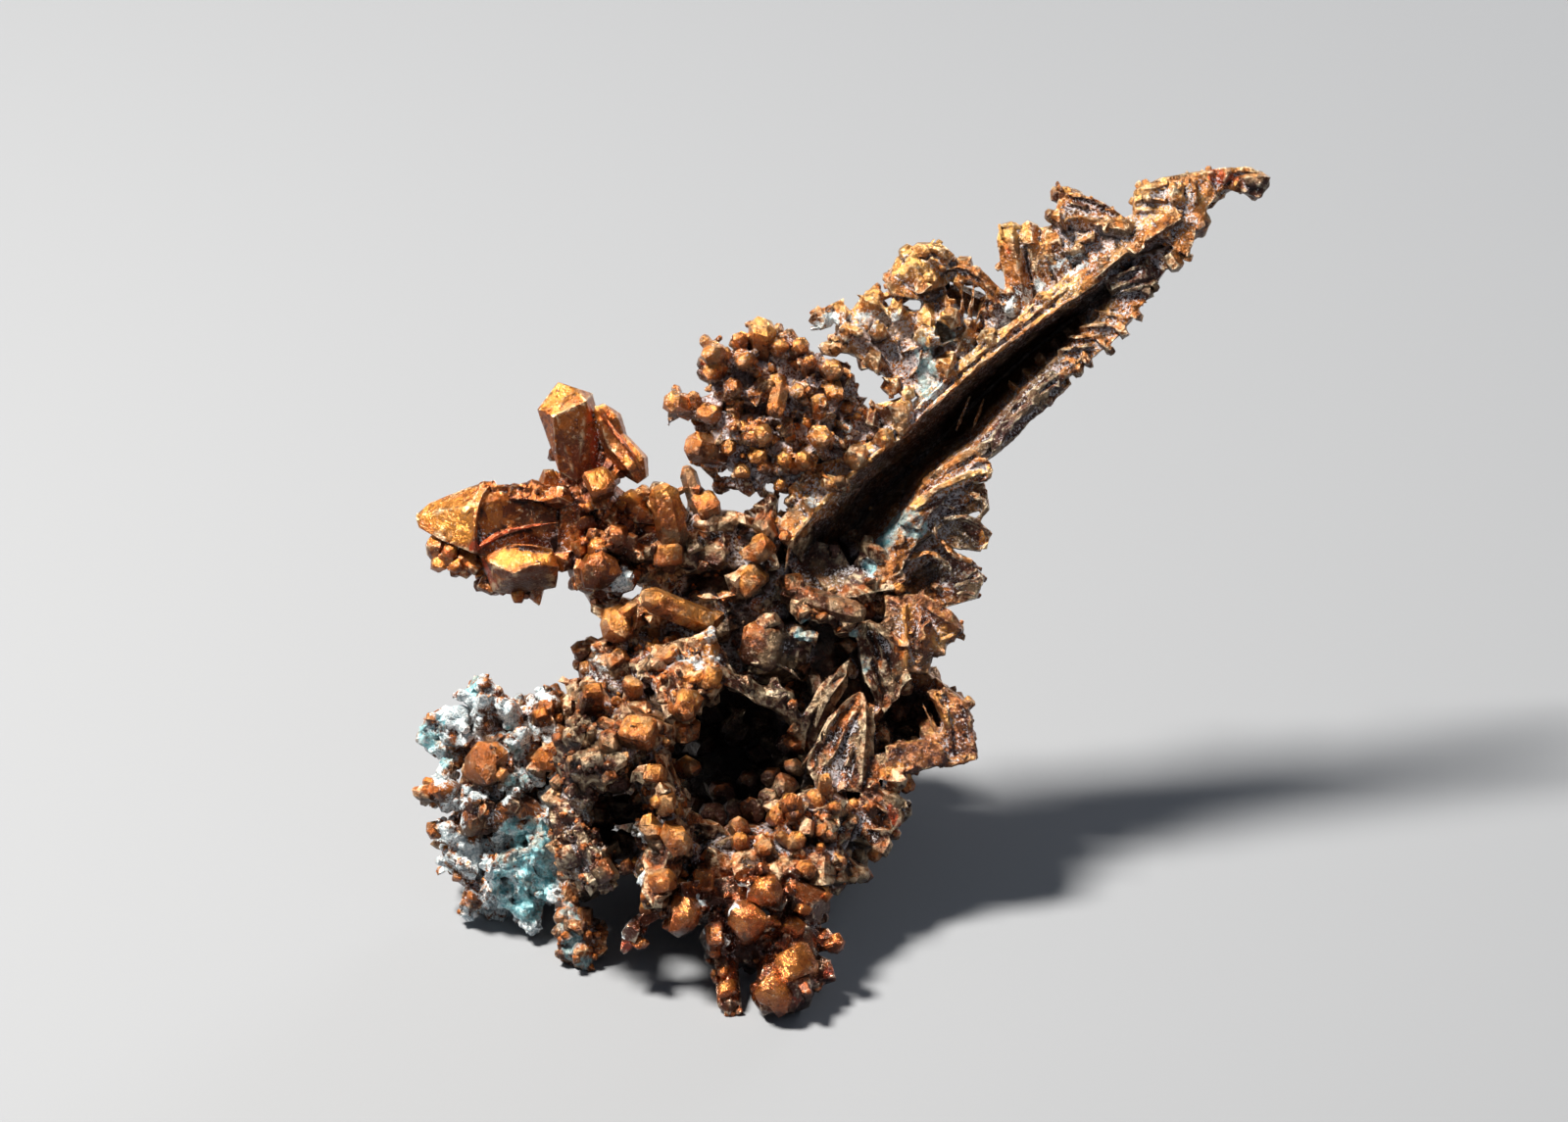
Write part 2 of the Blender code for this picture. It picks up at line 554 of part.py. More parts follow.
FOOT_CRYSTALS = [
    ((-2.6, 8.6, 7.0), (0.1, 6.6, 8.4), 1.8),
    ((-6.0, 7.2, 6.6), (-6.6, 5.6, 8.4), 2.6),
    ((-3.4, 6.2, 6.4), (-0.9, 5.6, 8.6), 1.9),
    ((-8.9, 6.0, 6.6), (-10.2, 3.8, 7.2), 1.4),
    ((-4.6, 4.4, 5.6), (-4.2, 5.6, 7.8), 2.0),
    ((1.2, 4.6, 6.2), (3.4, 4.6, 7.4), 1.5),
    ((1.4, 3.0, 6.6), (3.2, 2.3, 8.0), 1.9),
    ((-3.9, 4.4, 5.8), (-3.3, -0.2, 8.2), 1.7),
    ((-0.4, 3.4, 6.6), (-1.2, 0.2, 9.4), 2.5),
    ((-0.8, 4.2, 5.8), (-1.3, 4.5, 8.0), 1.2),
    ((-5.2, 7.6, 6.4), (-5.6, 8.4, 8.0), 1.5),
]
BOTTOM_CRYSTAL = [
    (-1.8, 0.6, 8.0), (-0.8, 2.6, 8.8), (-0.2, 3.0, 9.4), (1.6, 2.7, 9.2), (1.9, 1.8, 9.8), (0.5, 0.0, 9.0),
    (1.6, 0.4, 8.2), (2.2, 1.6, 8.0), (-0.1, 2.2, 10.2), (1.5, 1.9, 10.2), (-1.4, 0.2, 9.4), (0.2, 3.2, 6.6),
    (1.8, 2.6, 6.4), (-1.2, 1.4, 6.8), (0.8, 0.2, 7.2),
]
FOOT_LUMPS = [
    (1.2, 6.8, 5.6, 1.7, 1.7, 2.4),
    (0.8, 4.6, 6.6, 1.6, 1.6, 1.9),
    (-3.8, 7.0, 4.8, 3.4, 1.6, 2.2),
    (0.4, 2.6, 7.2, 1.7, 1.7, 1.6),
    (-2.6, 4.4, 5.4, 2.6, 1.8, 1.6),
]


FOOT_STALK = ([(-7.4, 6.6, 6.8), (-8.6, 6.2, 7.0), (-9.3, 5.4, 7.0), (-9.6, 4.6, 7.0)], 1.0)
FOOT_KNOBS = [
    (-9.5, 5.2, 0.8, 7.4),
    (-0.6, 5.9, 0.6, 7.8),
]
FOOT_BACK = ((-1.2, 5.0, 5.2), (2.6, 1.8, 1.8), 6, 1.3, (0, 0, -1))


def front_foot():
    grown = [faceted(*BOTTOM_CRYSTAL), twig(*FOOT_STALK)] + each(lump, FOOT_LUMPS)
    return grown + each(crystal, FOOT_CRYSTALS) + each(knob, FOOT_KNOBS) + crust(*FOOT_BACK)


# ---- the body: what every branch grows from --------------------------------------------------------

BODY_LUMPS = [
    (-3.0, 17.6, -9.0, 9.6, 7.6, 5.0),
    (-3.0, 25.4, -4.2, 6.6, 4.6, 4.6),
    (-9.6, 21.4, -1.6, 3.8, 3.2, 4.4),
    (-11.9, 15.8, 5.2, 2.6, 2.0, 3.6),
    (-12.9, 13.0, 3.0, 1.6, 3.4, 4.0),
    (-11.8, 9.8, 5.4, 1.9, 1.9, 3.2),
    (-9.6, 17.4, 3.0, 2.6, 2.4, 4.0),
    (-8.0, 14.4, 3.6, 1.6, 2.6, 4.2),
    (-7.6, 10.2, 4.6, 2.1, 3.0, 3.8),
    (-1.6, 10.4, 0.6, 5.2, 1.9, 5.0),
    (2.2, 11.6, 0.0, 3.0, 2.7, 4.2),
    (3.6, 17.6, -3.4, 3.2, 6.2, 3.4),
    (5.4, 22.6, -2.6, 2.2, 3.2, 2.4),
    (-6.0, 29.4, -1.2, 3.4, 2.4, 2.4),
    (-2.2, 28.8, -1.6, 2.2, 2.2, 2.4),
    (-6.5, 20.6, 1.4, 2.3, 2.2, 3.6),
    (-0.4, 22.8, -1.4, 2.9, 2.4, 2.6),
    (-13.4, 16.6, -1.4, 2.2, 4.2, 3.0),
    (-13.0, 11.4, 0.4, 1.8, 3.0, 2.6),
    (-8.8, 29.2, -0.8, 2.4, 2.4, 2.0),
    (-1.6, 9.0, 3.8, 4.4, 1.5, 2.4),
    (1.8, 8.8, 4.0, 2.0, 2.0, 2.2),
    (5.4, 28.2, -3.0, 2.6, 2.4, 2.0),
]
BODY_CRYSTALS = [
    ((-6.9, 30.6, 0.2), (-7.6, 33.4, 0.8), 2.3),
    ((-5.6, 31.6, -0.4), (-5.8, 34.2, -0.2), 1.4),
    ((-5.0, 30.4, -0.4), (-4.7, 32.6, 0.8), 2.4),
    ((-1.2, 30.0, -0.2), (-1.2, 32.2, 0.6), 1.5),
    ((-3.0, 30.2, -0.2), (-2.7, 31.6, 0.8), 0.9),
    ((-8.2, 28.4, 0.2), (-7.2, 29.3, 1.6), 1.6),
    ((-2.4, 26.6, 0.0), (-2.2, 28.2, 1.6), 2.1),
    ((-9.4, 24.6, 0.4), (-11.6, 24.9, 1.4), 2.3),
    ((-11.4, 24.6, -0.6), (-13.4, 23.8, 0.2), 1.7),
    ((-9.2, 25.7, 1.4), (-5.9, 25.4, 2.0), 1.7),
    ((-10.2, 22.4, 0.4), (-12.4, 22.2, 1.2), 1.7),
    ((-9.4, 19.8, 2.2), (-9.5, 20.6, 4.0), 1.9),
    ((-12.6, 20.2, 0.6), (-13.8, 20.9, 1.6), 1.9),
    ((-12.2, 17.4, 3.0), (-12.2, 20.6, 5.0), 2.0),
    ((-9.6, 17.6, 6.0), (-9.5, 18.2, 8.4), 2.9, 1.8),
    ((-6.6, 19.2, 3.6), (-6.8, 19.6, 6.2), 2.0),
    ((-8.2, 15.0, 6.6), (-8.3, 15.2, 9.0), 1.7),
    ((-7.6, 13.4, 6.8), (-7.3, 13.6, 9.2), 1.9),
    ((-6.8, 11.2, 7.2), (-6.6, 11.8, 9.4), 1.9),
    ((-8.2, 9.0, 6.8), (-8.1, 7.6, 9.0), 2.4),
    ((-0.4, 23.0, -0.2), (-1.0, 25.1, 1.2), 1.7),
    ((0.6, 22.6, -0.2), (1.8, 23.8, 1.0), 1.5),
    ((-1.0, 21.6, 0.2), (-1.8, 23.2, 1.8), 1.2),
    ((4.6, 9.4, 0.6), (5.4, 10.6, 1.2), 1.5),
    ((0.3, 12.0, 2.0), (-0.1, 13.0, 4.6), 2.1),
    ((-4.4, 14.2, -4.8), (-3.2, 13.2, -1.4), 2.4),
    ((-2.4, 14.2, -5.2), (-1.5, 14.8, -2.2), 2.3),
    ((-5.2, 17.4, -5.2), (-5.6, 16.6, -2.0), 2.0),
    ((-3.4, 18.4, -5.6), (-2.9, 17.7, -2.6), 2.1),
    ((6.2, 26.0, -2.0), (6.2, 28.4, 0.2), 1.9),
    ((4.9, 25.6, -1.6), (4.9, 29.2, -0.6), 1.2),
]
BODY_KNOBS = [
    (-3.6, 31.2, 0.7, 0.6),
    (-1.0, 28.7, 1.1, 0.8),
    (-4.8, 25.3, 0.8, 2.2),
    (-4.9, 23.6, 0.9, 2.4),
    (-4.8, 22.2, 0.8, 2.6),
    (-4.6, 20.8, 0.9, 3.0),
    (-6.8, 22.8, 1.3, 2.0),
    (-8.3, 22.4, 0.7, 2.4),
    (-8.8, 21.4, 0.7, 2.8),
    (-13.6, 19.8, 0.7, 1.4),
    (-13.9, 16.0, 0.8, 5.2),
    (-13.0, 17.0, 0.9, 6.4),
    (-13.2, 14.6, 0.9, 6.6),
    (-11.0, 15.0, 1.0, 8.2),
    (-13.4, 9.7, 0.9, 7.0),
    (-11.1, 9.5, 1.0, 8.2),
    (-10.9, 8.3, 0.8, 7.8),
    (-12.4, 8.2, 0.7, 7.6),
    (-12.8, 11.4, 0.9, 6.6),
    (-9.0, 11.6, 0.9, 7.4),
    (-4.7, 11.6, 0.9, 3.8),
    (-2.6, 9.3, 0.8, 4.9),
    (-1.4, 9.9, 0.9, 4.6),
    (-0.4, 10.8, 0.8, 4.2),
    (-4.0, 8.9, 0.8, 5.0),
    (0.5, 17.3, 0.5, 0.0),
    (1.6, 13.8, 0.6, 4.0),
    (0.9, 12.9, 0.5, 4.2),
    (2.7, 13.9, 0.8, 3.0),
    (3.4, 12.8, 0.7, 3.6),
    (1.7, 12.0, 0.6, 4.4),
    (0.7, 10.9, 0.6, 4.8),
    (1.4, 10.2, 0.5, 4.6),
    (3.0, 11.1, 0.7, 3.8),
    (0.8, 9.4, 0.6, 5.0),
    (4.2, 12.2, 0.8, 3.0),
    (3.3, 9.3, 1.2, 3.0),
]
LEAF = [
    (4.3, 22.6, -0.4), (3.4, 22.4, 0.8), (2.2, 20.0, 1.3), (1.2, 18.0, 1.3), (1.1, 16.2, 0.8),
    (1.6, 16.2, 0.2), (2.6, 18.6, 1.0), (4.1, 20.8, 0.6), (3.4, 20.4, -1.2), (1.8, 17.4, -0.8),
]
CAVE_LIP = [(-4.2, 23.4, 1.8), (-3.4, 21.2, 2.2), (-2.0, 20.5, 2.0), (-0.4, 20.0, 1.6), (0.6, 19.2, 1.0),
            (1.0, 18.3, 0.4)]
CHANNEL_FOOT = [(0.0, 29.2), (0.9, 30.2), (3.6, 29.4), (4.6, 27.8), (3.4, 25.9), (1.2, 26.3)]
UPPER_PLATE = [(0.6, 25.6), (1.4, 26.6), (3.6, 25.9), (4.8, 25.2), (4.4, 24.0), (2.8, 24.4), (1.0, 24.8)]
DARK_WALL = [(1.6, 24.8), (4.6, 24.9), (4.4, 22.6), (2.6, 20.2), (1.6, 20.4)]
STRIATED_PLATE = [(4.5, 24.4), (5.2, 24.9), (6.6, 24.3), (7.4, 22.6), (6.9, 20.2), (6.2, 19.0), (5.0, 21.4)]
SPEAR_LEAF = [(4.9, 20.4), (3.6, 19.2), (2.6, 17.6), (1.4, 15.4), (2.2, 14.2), (4.6, 13.8), (5.9, 15.0),
              (5.6, 18.6)]
SCALE_LEAF = [(5.0, 14.4), (6.4, 14.2), (7.4, 12.9), (7.4, 12.0), (6.8, 10.8), (6.0, 10.5), (5.0, 10.8),
              (4.5, 12.4)]
BACK_TOES = [
    ((4.0, 16.0, -11.0), (4.2, 11.6, -15.0), 4.0),
    ((-8.0, 16.0, -11.0), (-8.4, 11.4, -14.2), 4.0),
    ((-2.0, 14.0, -12.4), (-2.6, 10.8, -14.6), 3.6),
]


BODY_PLATES = [
    (CHANNEL_FOOT, -0.4, -3.2),
    (WING_LEDGE, 1.6, -2.4),
    (WING_BACK, -2.8, -4.6),
    (UPPER_PLATE, 1.4, -0.6),
    (DARK_WALL, -0.4, -3.0),
    (STRIATED_PLATE, 0.6, -1.4),
    (SPEAR_LEAF, 1.4, -0.8),
    (SCALE_LEAF, 1.6, -1.0),
]
BODY_TWIGS = [
    (CAVE_LIP, 1.2),
    ([(4.9, 20.0, 1.2), (4.8, 17.0, 1.8), (4.6, 14.4, 1.6)], 0.7),
    ([(5.6, 19.4, 1.0), (5.5, 16.8, 1.6), (5.2, 14.6, 1.4)], 0.7),
]
BODY_BACK = ((-3.0, 18.0, -9.4), (9.2, 7.4, 4.6), 28, 2.2, (0, 0.1, -1))
SHOULDER_BACK = ((-3.6, 25.0, -4.6), (6.0, 4.6, 4.4), 10, 1.8, (0, 0.4, -1))
LEFT_SIDE = ((-10.6, 14.0, 2.0), (2.8, 6.0, 3.6), 5, 1.4, (-1, 0, -0.4))
TROUGH_ROWS_IN_BODY = 4  # the foot of the trough grows from the body


def body():
    grown = [loft([trough_section(station) for station in TROUGH[:TROUGH_ROWS_IN_BODY]]), faceted(*LEAF)]
    grown += each(lump, BODY_LUMPS) + each(knob, BODY_KNOBS) + each(crystal, BODY_CRYSTALS + BACK_TOES)
    grown += each(plate, BODY_PLATES) + each(twig, BODY_TWIGS)
    return grown + crust(*BODY_BACK) + crust(*SHOULDER_BACK) + crust(*LEFT_SIDE)


# ---- joining the pieces and parting the branches ---------------------------------------------------


def merged(pieces):
    """One mesh holding every piece, still overlapping."""
    whole = bmesh.new()
    for bm in pieces:
        mesh = bpy.data.meshes.new("piece")
        bm.to_mesh(mesh)
        bm.free()
        whole.from_mesh(mesh)
        bpy.data.meshes.remove(mesh)
    return whole


def new_object(name, bm):
    mesh = bpy.data.meshes.new(name)
    bm.to_mesh(mesh)
    bm.free()
    made = bpy.data.objects.new(name, mesh)
    bpy.context.scene.collection.objects.link(made)
    return made


def block(centre, sides, turn=None):
    """A box of these sides round its centre, turned by a matrix."""
    bm = bmesh.new()
    bmesh.ops.create_cube(bm, size=1.0)
    bmesh.ops.scale(bm, vec=sides, verts=bm.verts)
    if turn:
        bmesh.ops.rotate(bm, matrix=turn, verts=bm.verts)
    bmesh.ops.translate(bm, vec=centre, verts=bm.verts)
    return bm


def parting_block(point, toward, reach):
    """A block whose near face passes through a point of the face frame, filling the side toward."""
    normal = facing(*toward)
    size = reach * MM
    across = normal.cross(facing(0, 0, 1)).normalized()
    turn = Matrix((across, normal.cross(across), normal)).transposed()
    centre = at(*point) + normal * (size - FORK_GAP * MM) / 2
    return block(centre, (size, size, size), turn)


def baked(target):
    """The object's mesh with its modifiers worked out."""
    bpy.context.view_layer.update()
    graph = bpy.context.evaluated_depsgraph_get()
    mesh = bpy.data.meshes.new_from_object(target.evaluated_get(graph))
    target.modifiers.clear()
    target.data = mesh


def carve(target, cutters):
    """Unites the target's pieces and cuts these shapes from them, in one exact Boolean."""
    helper = new_object(target.name + " cutters", merged(cutters))
    helper.hide_render = True
    helper.display_type = "WIRE"
    modifier = target.modifiers.new("grown together", "BOOLEAN")
    modifier.operation = "DIFFERENCE"
    modifier.solver = "EXACT"
    modifier.use_self = True
    modifier.object = helper
    baked(target)
    bpy.data.objects.remove(helper)


def flat_cut_distance(point, forks):
    """How far a point lies from the nearest flat cut, the one it stands on included."""
    distances = [abs(point.z)]
    for place, toward, _ in forks:
        normal = facing(*toward)
        distances.append(abs((point - at(*place)).dot(normal) + FORK_GAP * MM / 2))
    return min(distances)


def simplify(target, most, forks):
    """Merges the thinnest facets until about this many triangles are left, off the flat cuts."""
    target.data.calc_loop_triangles()
    count = len(target.data.loop_triangles)
    free = target.vertex_groups.new(name="free")
    for vert in target.data.vertices:
        free.add([vert.index], float(flat_cut_distance(vert.co, forks) > FLAT_CUT_MARGIN), "REPLACE")
    modifier = target.modifiers.new("simplify", "DECIMATE")
    modifier.ratio = min(1.0, most / count)
    modifier.use_collapse_triangulate = True
    modifier.vertex_group = free.name
    baked(target)
    target.vertex_groups.clear()


def largest_body(target):
    """Keeps the biggest connected body and drops crumbs that a cut left loose."""
    bm = bmesh.new()
    bm.from_mesh(target.data)
    unseen = set(bm.verts)
    bodies = []
    while unseen:
        stack = [unseen.pop()]
        found = []
        while stack:
            vert = stack.pop()
            found.append(vert)
            for edge in vert.link_edges:
                other = edge.other_vert(vert)
                if other in unseen:
                    unseen.remove(other)
                    stack.append(other)
        bodies.append(found)
    bodies.sort(key=len)
    for found in bodies[:-1]:
        bmesh.ops.delete(bm, geom=found, context="VERTS")
    bm.to_mesh(target.data)
    bm.free()


def finish_material(name, rgb, roughness, metallic):
    material = bpy.data.materials.new(name)
    material.use_nodes = True
    shader = material.node_tree.nodes["Principled BSDF"]
    shader.inputs["Base Color"].default_value = (*rgb, 1.0)
    shader.inputs["Roughness"].default_value = roughness
    shader.inputs["Metallic"].default_value = metallic
    return material


# Hollows: centre u, v, w and half-widths, cut out of the branch that each row names.
HOLLOWS = {
    "body": [
        (-3.2, 16.2, 4.2, 4.1, 3.9, 6.0),
        (-11.2, 12.0, 8.0, 1.7, 1.9, 6.0),
        (-10.6, 10.0, 8.6, 0.9, 2.2, 5.0),
        (-2.7, 24.4, 2.4, 1.2, 1.1, 2.6),
        (3.4, 22.8, 1.4, 1.0, 1.9, 2.4),
        (-9.4, 22.9, 2.6, 1.6, 0.6, 2.4),
    ],
    "crusted_lobe": [
        (-18.0, 10.6, 2.6, 2.2, 0.8, 3.0),
        (-15.3, 14.4, 1.8, 0.9, 1.2, 2.6),
        (-20.4, 12.0, 1.4, 0.6, 1.2, 2.0),
        (-17.4, 8.4, 2.6, 0.8, 0.5, 1.8),
    ],
    "knob_fan": [
        (-1.9, 40.2, 1.4, 0.5, 0.6, 1.6),
        (-2.6, 38.2, 1.4, 0.8, 0.5, 1.6),
        (0.0, 38.2, 1.4, 0.5, 0.4, 1.6),
    ],
}
# Each branch: its shape, its finish, the most triangles it may have before it is parted, and the
# forks at which it is parted from its neighbours. A fork is a point on the cut, the direction out
# of the branch there, and how far the cut reaches.
BRANCHES = {
    "body": (body, ("brown_copper", (0.26, 0.11, 0.05), 0.45, 0.9), 3300, [
        ((3.0, 29.9, -2.0), (0.46, 0.89, 0.0), 16),
        ((-9.6, 29.6, 0.0), (-0.9, 0.44, 0.0), 14),
        ((-14.0, 14.0, 0.0), (-0.97, -0.25, -0.12), 40),
        ((7.2, 20.4, -1.6), (1.0, 0.0, 0.0), 15),
        ((-2.6, 8.0, 6.0), (0.17, -0.98, 0.1), 18),
    ]),
    "spire": (spire, ("ridge_copper", (0.40, 0.20, 0.08), 0.40, 0.9), 1900, [
        ((3.0, 29.9, -2.0), (-0.46, -0.89, 0.0), 30),
        ((1.9, 33.8, 0.0), (-0.71, 0.71, 0.0), 12),
    ]),
    "knob_fan": (knob_fan, ("fan_copper", (0.42, 0.21, 0.10), 0.45, 0.85), 1100, [
        ((1.9, 33.8, 0.0), (0.71, -0.71, 0.0), 30),
    ]),
    "crystal_arm": (crystal_arm, ("bright_copper", (0.52, 0.24, 0.07), 0.32, 0.95), 800, [
        ((-9.6, 29.6, 0.0), (0.9, -0.44, 0.0), 30),
    ]),
    "crusted_lobe": (crusted_lobe, ("crusted_copper", (0.36, 0.42, 0.42), 0.75, 0.25), 1300, [
        ((-14.0, 14.0, 0.0), (0.97, 0.25, 0.12), 40),
    ]),
    "side_wing": (side_wing, ("torn_copper", (0.34, 0.16, 0.07), 0.42, 0.9), 450, [
        ((7.2, 20.4, -1.6), (-1.0, 0.0, 0.0), 30),
        ((8.6, 26.9, 0.0), (0.2, 1.0, 0.0), 12),
    ]),
    "front_foot": (front_foot, ("foot_copper", (0.48, 0.20, 0.08), 0.35, 0.95), 700, [
        ((-2.6, 8.0, 6.0), (-0.17, 0.98, -0.1), 30),
    ]),
}


def grow(name):
    shape, finish, most, forks = BRANCHES[name]
    target = new_object(name, merged(shape()))
    cutters = [block(Vector((0, 0, -GROUND_BLOCK / 2)), (GROUND_BLOCK,) * 3)]
    cutters += each(lump, HOLLOWS.get(name, [])) + each(parting_block, forks)
    carve(target, cutters)
    largest_body(target)
    simplify(target, most, forks)
    target.data.materials.append(finish_material(*finish))


def main():
    for old in list(bpy.data.objects):
        bpy.data.objects.remove(old)
    for name in BRANCHES:
        grow(name)


main()
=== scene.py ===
# %% [markdown]
# # A native copper nugget, dressed in Blender
#
# Native copper grows in cracks of rock as blunt cubic crystals that lean on each other, and a thin
# skin of oxide, dust and green-blue copper minerals settles on it afterwards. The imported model
# already has every branch, ledge and large crystal at its real size. This lesson adds what is
# smaller than about a millimetre: crumbs, little crystals, pits, striations, and the finish.

# %% Load the frame
import math
from functools import partial

import bpy
import numpy as np
from mathutils import Matrix, Vector, noise
from mathutils.bvhtree import BVHTree


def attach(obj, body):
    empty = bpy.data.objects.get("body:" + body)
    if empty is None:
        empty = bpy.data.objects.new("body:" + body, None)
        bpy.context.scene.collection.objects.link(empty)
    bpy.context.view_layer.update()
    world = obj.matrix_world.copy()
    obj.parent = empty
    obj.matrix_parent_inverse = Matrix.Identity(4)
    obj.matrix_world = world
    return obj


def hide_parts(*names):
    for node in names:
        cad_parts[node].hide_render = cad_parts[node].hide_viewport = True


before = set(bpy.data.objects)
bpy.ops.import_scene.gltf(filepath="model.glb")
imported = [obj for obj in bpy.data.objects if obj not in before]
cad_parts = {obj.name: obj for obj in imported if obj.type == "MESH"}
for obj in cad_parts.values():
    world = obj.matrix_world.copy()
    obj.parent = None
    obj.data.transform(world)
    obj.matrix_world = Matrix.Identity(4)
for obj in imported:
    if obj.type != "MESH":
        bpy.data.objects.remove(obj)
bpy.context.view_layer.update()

# %% [markdown]
# ## One frame of reference for every detail that is placed one by one
#
# The nugget is a leaning face with things growing out of it, so a detail is easiest to place by how
# far right it is (u), how far up the face (v) and how far out of the face (w), in millimetres. The
# two functions below turn such places into the frame's own axes and back. Modelling is done at a
# thousand times the real size, so that one Blender unit is a millimetre, and scaled back at the end.

# %% Places on the leaning face
MM = 0.001
LEAN = math.radians(30)  # the face looks this far above the horizontal
ORIGIN = Vector((3.67, 9.70, 4.0))  # mm from the middle of the footprint back to the face's origin
RIGHT = Vector((1, 0, 0))
UP = Vector((0, math.sin(LEAN), math.cos(LEAN)))
OUT = Vector((0, -math.cos(LEAN), math.sin(LEAN)))
FACE_AXES = np.array([RIGHT, UP, OUT])


def at(u, v, w=0.0):
    """The place u, v, w of the face, in millimetres along the frame's axes."""
    return RIGHT * u + UP * v + OUT * w - ORIGIN


def on_face(points):
    """The u, v, w of many points that are in millimetres along the frame's axes."""
    return (points + np.array(ORIGIN)) @ FACE_AXES.T


print("the tip of the spire is at", [round(c, 1) for c in at(31.0, 52.9, 0.0)], "mm")

# %% [markdown]
# ## The camera
#
# A long lens from most of a metre away keeps the crystals free of perspective bulge, as in a
# specimen portrait. It looks straight at the leaning face, so one picture width is 100 mm.

# %% Camera
VIEW_WIDTH = 100.0  # mm across the picture at the face
LENS = 300.0
SENSOR = 36.0
VIEW_CENTRE = at(0.0, 28.59, 0.0)
distance = VIEW_WIDTH * LENS / SENSOR

bpy.ops.object.camera_add(location=(VIEW_CENTRE + OUT * distance) * MM)
camera = bpy.context.object
camera.name = "portrait_camera"
camera.rotation_euler = OUT.to_track_quat("Z", "Y").to_euler()
camera.data.lens = LENS
camera.data.sensor_width = SENSOR
camera.data.clip_start = 0.01
camera.data.clip_end = 20
bpy.context.scene.camera = camera
print("camera stands", round(distance), "mm away")

# %% [markdown]
# ## Colours
#
# Colours are picked as sRGB hex values, the way a paint chart gives them. Blender's
# sockets want linear light, so one function turns a hex value to linear.

# %% Colours and one helper for nodes


def colour(hex_value):
    """A linear RGBA colour from an sRGB hex value."""
    channels = [int(hex_value[i:i + 2], 16) / 255 for i in (1, 3, 5)]
    linear = [c / 12.92 if c <= 0.04045 else ((c + 0.055) / 1.055) ** 2.4 for c in channels]
    return (*linear, 1.0)


def add_node(tree, kind, *values, **named):
    """Adds a shader node, makes its settings, sets or links its sockets, and gives its first output.

    The values are for the open sockets, in order. Of the named ones, settings are in lower case and
    sockets have a capital, with _ for a space, as in Blender's own names.
    """
    node = tree.nodes.new("ShaderNode" + kind)
    for name in filter(str.islower, named):
        setattr(node, name, named[name])
    pairs = list(zip([socket for socket in node.inputs if socket.enabled], values))
    pairs += [(node.inputs[name.replace("_", " ")], named[name]) for name in named if name[0].isupper()]
    for socket, value in pairs:
        if isinstance(value, bpy.types.NodeSocket):
            tree.links.new(value, socket)
        else:
            socket.default_value = value
    return next(socket for socket in node.outputs if socket.enabled)


# %% [markdown]
# ## The floor and the lights
#
# A plain pale sheet stands for the table. Metal looks like what it mirrors, so the light matters as
# much as the finish: one fairly small soft box high on the left makes the glints and the dark
# hollows, a wide weak panel fills the front, and a pale room is left to the world colour.

# %% Floor
FLOOR_SIDE = 3.0
bpy.ops.object.select_all(action="DESELECT")
bpy.ops.mesh.primitive_plane_add(size=FLOOR_SIDE, location=(0, 0, 0))
floor = bpy.context.object
floor.name = "pale_floor"
paper = bpy.data.materials.new("matt_paper")
paper.use_nodes = True
paper_shader = paper.node_tree.nodes["Principled BSDF"]
paper_shader.inputs["Base Color"].default_value = colour("#9A9EA4")
paper_shader.inputs["Roughness"].default_value = 0.8
floor.data.materials.append(paper)

# %% Lights
LIGHTS = {
    # name: (direction from the nugget as u, v, w; metres away; side of the panel in metres; watts; tint)
    "key_box": ((-0.50, 0.80, 0.42), 0.42, 0.09, 4.2, "#FFF8EE"),
    "front_panel": ((0.55, 0.35, 0.90), 0.60, 0.40, 0.18, "#EAF2FF"),
    "back_rim": ((0.60, 0.75, -0.75), 0.45, 0.16, 0.5, "#F4F8FF"),
}


def soft_box(name, direction, away, side, watts, tint):
    """A square area light that faces the nugget's middle."""
    u, v, w = direction
    toward = (RIGHT * u + UP * v + OUT * w).normalized()
    bpy.ops.object.light_add(type="AREA", location=at(0, 26, 0) * MM + toward * away)
    light = bpy.context.object
    light.name = name
    light.rotation_euler = toward.to_track_quat("Z", "Y").to_euler()
    light.data.size = side
    light.data.energy = watts
    light.data.color = colour(tint)[:3]


for light_name, light_row in LIGHTS.items():
    soft_box(light_name, *light_row)

room = bpy.data.worlds.new("pale_room")
room.use_nodes = True
room.node_tree.nodes["Background"].inputs["Color"].default_value = colour("#AEB8C6")
room.node_tree.nodes["Background"].inputs["Strength"].default_value = 0.13
bpy.context.scene.world = room
bpy.context.scene.view_settings.view_transform = "Standard"
print(len(LIGHTS), "soft lights")

# %% [markdown]
# ## Six small shapes that the crust is grown from
#
# Copper's crystals are cubes, blunt prisms and rounded nubs. Each kind is modelled once, from a
# primitive shaped in edit mode, with only a few dozen faces. Thousands of turned and scaled copies
# then cover the branches, so no face of the result is a bare primitive.

# %% Working on one object at a time, and reading its mesh into arrays


def only(piece):
    """Selects this object alone and makes it the active one."""
    bpy.ops.object.select_all(action="DESELECT")
    piece.select_set(True)
    bpy.context.view_layer.objects.active = piece


def edit_all():
    """Goes into edit mode on the active object with everything selected."""
    bpy.ops.object.mode_set(mode="EDIT")
    bpy.ops.mesh.select_all(action="SELECT")


STRAIGHT_UP = 0.9  # the least upward part of a top face's normal


def edit_top():
    """Goes into edit mode on the active object with the faces that look straight up selected."""
    bpy.ops.object.mode_set(mode="EDIT")
    bpy.ops.mesh.select_mode(type="FACE")
    bpy.ops.mesh.select_all(action="DESELECT")
    bpy.ops.object.mode_set(mode="OBJECT")
    for face in bpy.context.object.data.polygons:
        face.select = face.normal.z > STRAIGHT_UP
    bpy.ops.object.mode_set(mode="EDIT")


